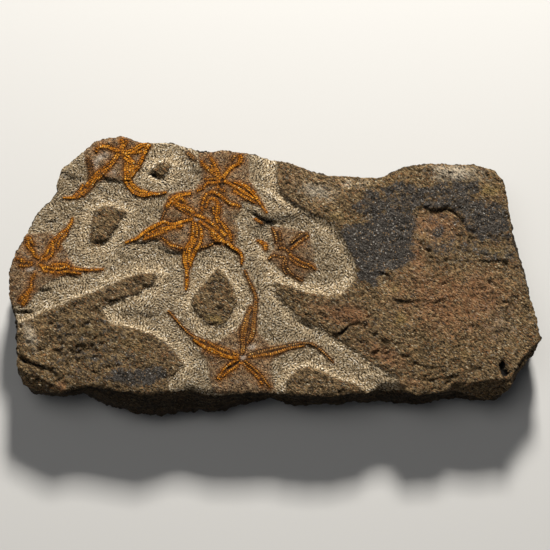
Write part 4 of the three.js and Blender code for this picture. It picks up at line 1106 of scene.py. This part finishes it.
def plate(name, near, far, lean, stops):
    """One bar-shaped plate, from near to far across a strip, leaning along it."""
    corners = []
    for along, width, tallness in stops:
        across_strip = near + (far - near) * along
        for x, z in BAR_PROFILE:
            high = z * tallness if z > 0 else z
            corners.append((x * width + lean * along, across_strip, high))
    count = len(BAR_PROFILE)
    walls = [[a * count + k, a * count + (k + 1) % count, (a + 1) * count + (k + 1) % count,
              (a + 1) * count + k] for a in range(len(stops) - 1) for k in range(count)]
    walls += [list(range(count))[::-1], list(range(len(corners) - count, len(corners)))]
    mesh = bpy.data.meshes.new(name)
    mesh.from_pydata(corners, [], walls)
    crest = [max(0.0, corner[2]) / PLATE_TOP for corner in corners]
    mesh.attributes.new("crest", "FLOAT", "POINT").data.foreach_set("value", crest)
    return bpy.data.objects.new(name, mesh)


PITCH = 1.15 * MM
PLATE_HEIGHT = 1.0 * MM
# Where the rust is thin the plates have worn smaller, down to this share of their size.
SHRUNK_BELOW = (0.85, 1.0)
SHRUNK_TO = 0.75
# By chance a plate strays from its row, by this much at the most, differs in size from the
# rest, between these shares, and turns about each axis, by these angles at the most.
STRAY = 0.08 * MM
SMALLEST, LARGEST = (0.8, 0.88, 0.45), (1.08, 1.08, 1.12)
TURNED = (0.08, 0.12, 0.17)
# A plate is lost where wear and chance together pass this.
LOST_ABOVE = 0.71
LOST_BY_CHANCE = 0.16
SEED_STEP = 7.0
# Rows of plates across a strip: from edge to edge as shares of its half-width, the lean,
# the stops of their shape, and the half-widths of strip in mm that have such a row.
rows_across = {
    "whole": (-1.05, 1.05, 0.25, SQUARE, 0, 1.0),
    "inner": (-1.08, -0.1, 0.2, SQUARE, 1.0, 9), "outer": (0.1, 1.08, 0.2, TAPERED, 1.0, 9),
}
plates = [
    (plate(f"{row}_plate", near, far, lean, stops), narrowest, widest)
    for row, (near, far, lean, stops, narrowest, widest) in rows_across.items()
]


def compared(tree, value, operation, limit):
    return node(tree, "FunctionNodeCompare", {0: value, 1: limit}, operation=operation)


def both(tree, first, second):
    return node(tree, "FunctionNodeBooleanMath", {0: first, 1: second}, operation="AND")


def plate_rows(material):
    """The tree that lays plates along each arm: pitch, height and seed are its inputs."""
    tree = bpy.data.node_groups.new("plate_rows", "GeometryNodeTree")
    socket = tree.interface.new_socket
    socket("Geometry", in_out="INPUT", socket_type="NodeSocketGeometry")
    for name in ("Pitch", "Height"):
        socket(name, in_out="INPUT", socket_type="NodeSocketFloat")
    socket("Seed", in_out="INPUT", socket_type="NodeSocketInt")
    socket("Geometry", in_out="OUTPUT", socket_type="NodeSocketGeometry")
    given = tree.nodes.new("NodeGroupInput").outputs
    curve = node(tree, "GeometryNodeMeshToCurve", {"Mesh": given["Geometry"]})
    points = tree.nodes.new("GeometryNodeCurveToPoints")
    points.mode = "LENGTH"
    tree.links.new(curve, points.inputs["Curve"])
    tree.links.new(given["Pitch"], points.inputs["Length"])
    half = node(tree, "GeometryNodeInputNamedAttribute", {"Name": "half_width"},
                out="Attribute", data_type="FLOAT")
    aligned = node(tree, "FunctionNodeAlignRotationToVector",
                   {"Vector": points.outputs["Tangent"]}, axis="X", pivot_axis="Z")
    rust = node(tree, "GeometryNodeInputNamedAttribute", {"Name": "rust"},
                out="Attribute", data_type="FLOAT")
    share = calc(tree, "MULTIPLY_ADD", rise(tree, rust, *SHRUNK_BELOW), 1 - SHRUNK_TO, SHRUNK_TO)
    long, broad = (calc(tree, "MULTIPLY", share, whole) for whole in (given["Pitch"], half))
    size = node(tree, "ShaderNodeCombineXYZ", {"X": long, "Y": broad, "Z": given["Height"]})
    worn = noise_at(tree, node(tree, "GeometryNodeInputPosition"), 2.2, 2, 0.6)
    together = tree.nodes.new("GeometryNodeJoinGeometry")
    for number, (unit, narrowest, widest) in enumerate(plates):
        seed = calc(tree, "ADD", given["Seed"], SEED_STEP * number)

        def chance(low, high):
            """A random value or vector for each plate."""
            flat = isinstance(low, float)
            made = tree.nodes.new("FunctionNodeRandomValue")
            made.data_type = "FLOAT" if flat else "FLOAT_VECTOR"
            made.inputs[2 if flat else 0].default_value = low
            made.inputs[3 if flat else 1].default_value = high
            tree.links.new(seed, made.inputs["Seed"])
            return made.outputs[1 if flat else 0]

        def either_way(most):
            """A random vector for each plate, up to the given one either way."""
            return chance(tuple(-v for v in most), most)

        shape = node(tree, "GeometryNodeObjectInfo", {"Object": unit, "As Instance": True},
                     out="Geometry")
        wide = compared(tree, half, "GREATER_EQUAL", narrowest * MM)
        narrow = compared(tree, half, "LESS_THAN", widest * MM)
        lost = calc(tree, "MULTIPLY_ADD", chance(0.0, 1.0), LOST_BY_CHANCE, worn)
        kept = compared(tree, lost, "LESS_THAN", LOST_ABOVE)
        strayed = node(tree, "GeometryNodeSetPosition",
                       {"Geometry": points.outputs["Points"],
                        "Offset": either_way((STRAY, STRAY, STRAY))})
        wanted = both(tree, both(tree, wide, narrow), kept)
        uneven = node(tree, "ShaderNodeVectorMath",
                      {0: size, 1: chance(SMALLEST, LARGEST)}, operation="MULTIPLY")
        turn = node(tree, "FunctionNodeRotateRotation",
                    {"Rotation": aligned, "Rotate By": either_way(TURNED)})
        laid = node(tree, "GeometryNodeInstanceOnPoints",
                    {"Points": strayed, "Selection": wanted, "Instance": shape,
                     "Rotation": turn, "Scale": uneven})
        laid = node(tree, "GeometryNodeStoreNamedAttribute",
                    {"Geometry": laid, "Name": "shade", "Value": chance(0.0, 1.0)},
                    domain="INSTANCE", data_type="FLOAT")
        tree.links.new(laid, together.inputs[0])
    real = node(tree, "GeometryNodeRealizeInstances", {"Geometry": together.outputs[0]})
    finished = node(tree, "GeometryNodeSetMaterial", {"Geometry": real, "Material": material})
    tree.links.new(finished, tree.nodes.new("NodeGroupOutput").inputs["Geometry"])
    return tree


fossil, tree, shader = new_material("fossil_plates", 0.88, 0.12)
place = node(tree, "ShaderNodeTexCoord", out="Object")
crest = attribute(tree, "crest")
rusty = attribute(tree, "rust")
lumps, _, grain_shade = grained(tree, place, 0.6)
blotch = noise_at(tree, place, 3.0, 4, 0.7)
bright = mixed(tree, rise(tree, blotch, 0.38, 0.62), colour(184, 108, 12), colour(226, 160, 56))
dull = mixed(tree, rise(tree, blotch, 0.38, 0.62), colour(124, 92, 54), colour(186, 160, 120))
rusty = calc(tree, "MULTIPLY_ADD", calc(tree, "SUBTRACT", blotch, 0.5), 1.2, rusty)
plate_colour = mixed(tree, rise(tree, rusty, 0.2, 0.95), dull, bright)
plate_colour = painted(tree, plate_colour, attribute(tree, "shade"), 0.75, colour(122, 66, 8))
dirt = rise(tree, noise_at(tree, place, 1.1, 3, 0.7), 0.5, 0.58)
plate_colour = painted(tree, plate_colour, dirt, 0.7, colour(70, 40, 10))
plate_colour = mixed(tree, rise(tree, grain_shade, 0.97, 0.98), plate_colour, colour(206, 178, 122))
# Plates are painted near black low on their sides: painted shade in the gaps between them.
foot_shade = calc(tree, "MULTIPLY_ADD", lumps, 0.7, calc(tree, "SUBTRACT", crest, 0.2))
plate_colour = mixed(tree, rise(tree, foot_shade, 0.5, 0.05), plate_colour, colour(34, 16, 2))
tree.links.new(plate_colour, shader.inputs["Base Color"])
bump = node(tree, "ShaderNodeBump", {"Height": lumps, "Distance": 0.15 * MM, "Strength": 0.8})
tree.links.new(bump, shader.inputs["Normal"])
rows_tree = plate_rows(fossil)
# An arm bridges small dips in the face: its height is a mean over this many points each way.
BRIDGED = 4


def laid_plates(name, lines, seed):
    """One mesh of all the plates along the given arms, lying on the face of the slab."""
    corners, edges, halves, rusts = [], [], [], []
    for rusty, stations in lines:
        line = curved(stations, 6)
        height = relief(line[None, :, :2])[0][0]
        window = np.ones(2 * BRIDGED + 1) / (2 * BRIDGED + 1)
        height = np.convolve(np.pad(height, BRIDGED, mode="edge"), window, mode="valid")
        edges += [(len(corners) + k, len(corners) + k + 1) for k in range(len(line) - 1)]
        corners += [(x * MM, y * MM, z * MM) for (x, y, _), z in zip(line, height)]
        halves += (line[:, 2] * MM).tolist()
        rusts += [rusty] * len(line)
    guide_mesh = bpy.data.meshes.new(name + "_guide")
    guide_mesh.from_pydata(corners, edges, [])
    guide_mesh.attributes.new("half_width", "FLOAT", "POINT").data.foreach_set("value", halves)
    guide_mesh.attributes.new("rust", "FLOAT", "POINT").data.foreach_set("value", rusts)
    guide = bpy.data.objects.new(name + "_guide", guide_mesh)
    bpy.context.collection.objects.link(guide)
    modifier = guide.modifiers.new("plates", "NODES")
    modifier.node_group = rows_tree
    wanted = {"Pitch": PITCH, "Height": PLATE_HEIGHT, "Seed": seed}
    for item in rows_tree.interface.items_tree:
        if item.in_out == "INPUT" and item.name in wanted:
            modifier[item.identifier] = wanted[item.name]
    evaluated = guide.evaluated_get(bpy.context.evaluated_depsgraph_get())
    mesh = bpy.data.meshes.new_from_object(evaluated)
    mesh.name = name + "_plates"
    bpy.data.objects.remove(guide)
    piece = bpy.data.objects.new(name + "_plates", mesh)
    bpy.context.collection.objects.link(piece)
    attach(piece, "root")
    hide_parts(name)


for seed, (name, strips) in enumerate(stars.items()):
    laid_plates(name, strips, seed)

# ---- The loose bits of arm -----------------------------------------------------------
# Three short pieces of arm that lie in the face by themselves. Each is one strip of the
# same rusty plates, held in the stone as the stars are.
FIRST_SEED = 10
for seed, (name, line) in enumerate(loose_arms.items(), start=FIRST_SEED):
    laid_plates(name, [line], seed)

# ---- The floor, the lights and the camera --------------------------------------------
# A plain pale floor, one key light from behind the slab's far edge, as seen, a weak fill
# and a camera almost straight above.
FLOOR_REACH = 3
floor_corners = [(x * FLOOR_REACH, y * FLOOR_REACH, 0) for x, y in ((-1, -1), (1, -1), (1, 1), (-1, 1))]
floor_mesh = bpy.data.meshes.new("floor")
floor_mesh.from_pydata(floor_corners, [], [(0, 1, 2, 3)])
floor = bpy.data.objects.new("floor", floor_mesh)
bpy.context.collection.objects.link(floor)
pale, tree, shader = new_material("pale_floor", 0.9, 0.2)
shader.inputs["Base Color"].default_value = (0.6, 0.6, 0.59, 1)
floor_mesh.materials.append(pale)

LIT_PLACE = Vector((0, 0, 0.03))


def area_light(name, place, size, power, tint):
    """A square light turned to the slab: its place and size in metres, and its power in watts."""
    data = bpy.data.lights.new(name, "AREA")
    data.shape = "SQUARE"
    data.size = size
    data.energy = power
    data.color = tint
    light = bpy.data.objects.new(name, data)
    light.location = place
    light.rotation_euler = (LIT_PLACE - Vector(place)).to_track_quat("-Z", "Y").to_euler()
    bpy.context.collection.objects.link(light)


area_light("key", (0.12, 1.2, 0.82), 0.22, 41, (1.0, 0.96, 0.9))
area_light("fill", (-0.4, 0.3, 1.6), 0.9, 5, (1.0, 0.98, 0.95))
world = bpy.data.worlds.new("studio")
world.use_nodes = True
world.node_tree.nodes["Background"].inputs["Color"].default_value = (0.9, 0.93, 1.0, 1)
world.node_tree.nodes["Background"].inputs["Strength"].default_value = 0.05
bpy.context.scene.world = world
bpy.context.scene.view_settings.view_transform = "Standard"

camera_data = bpy.data.cameras.new("camera")
camera_data.lens = 120
camera_data.sensor_width = 36
camera = bpy.data.objects.new("camera", camera_data)
# The middle of the view on the face, and the camera's tilt and distance from there.
middle_x, middle_y, middle_z = 0.0002, -0.0023, FACE_HEIGHT * MM
tilt, distance = math.radians(7), 1.0083
camera.location = (middle_x, middle_y - math.sin(tilt) * distance, middle_z + math.cos(tilt) * distance)
camera.rotation_euler = (tilt, 0, 0)
bpy.context.collection.objects.link(camera)
bpy.context.scene.camera = camera
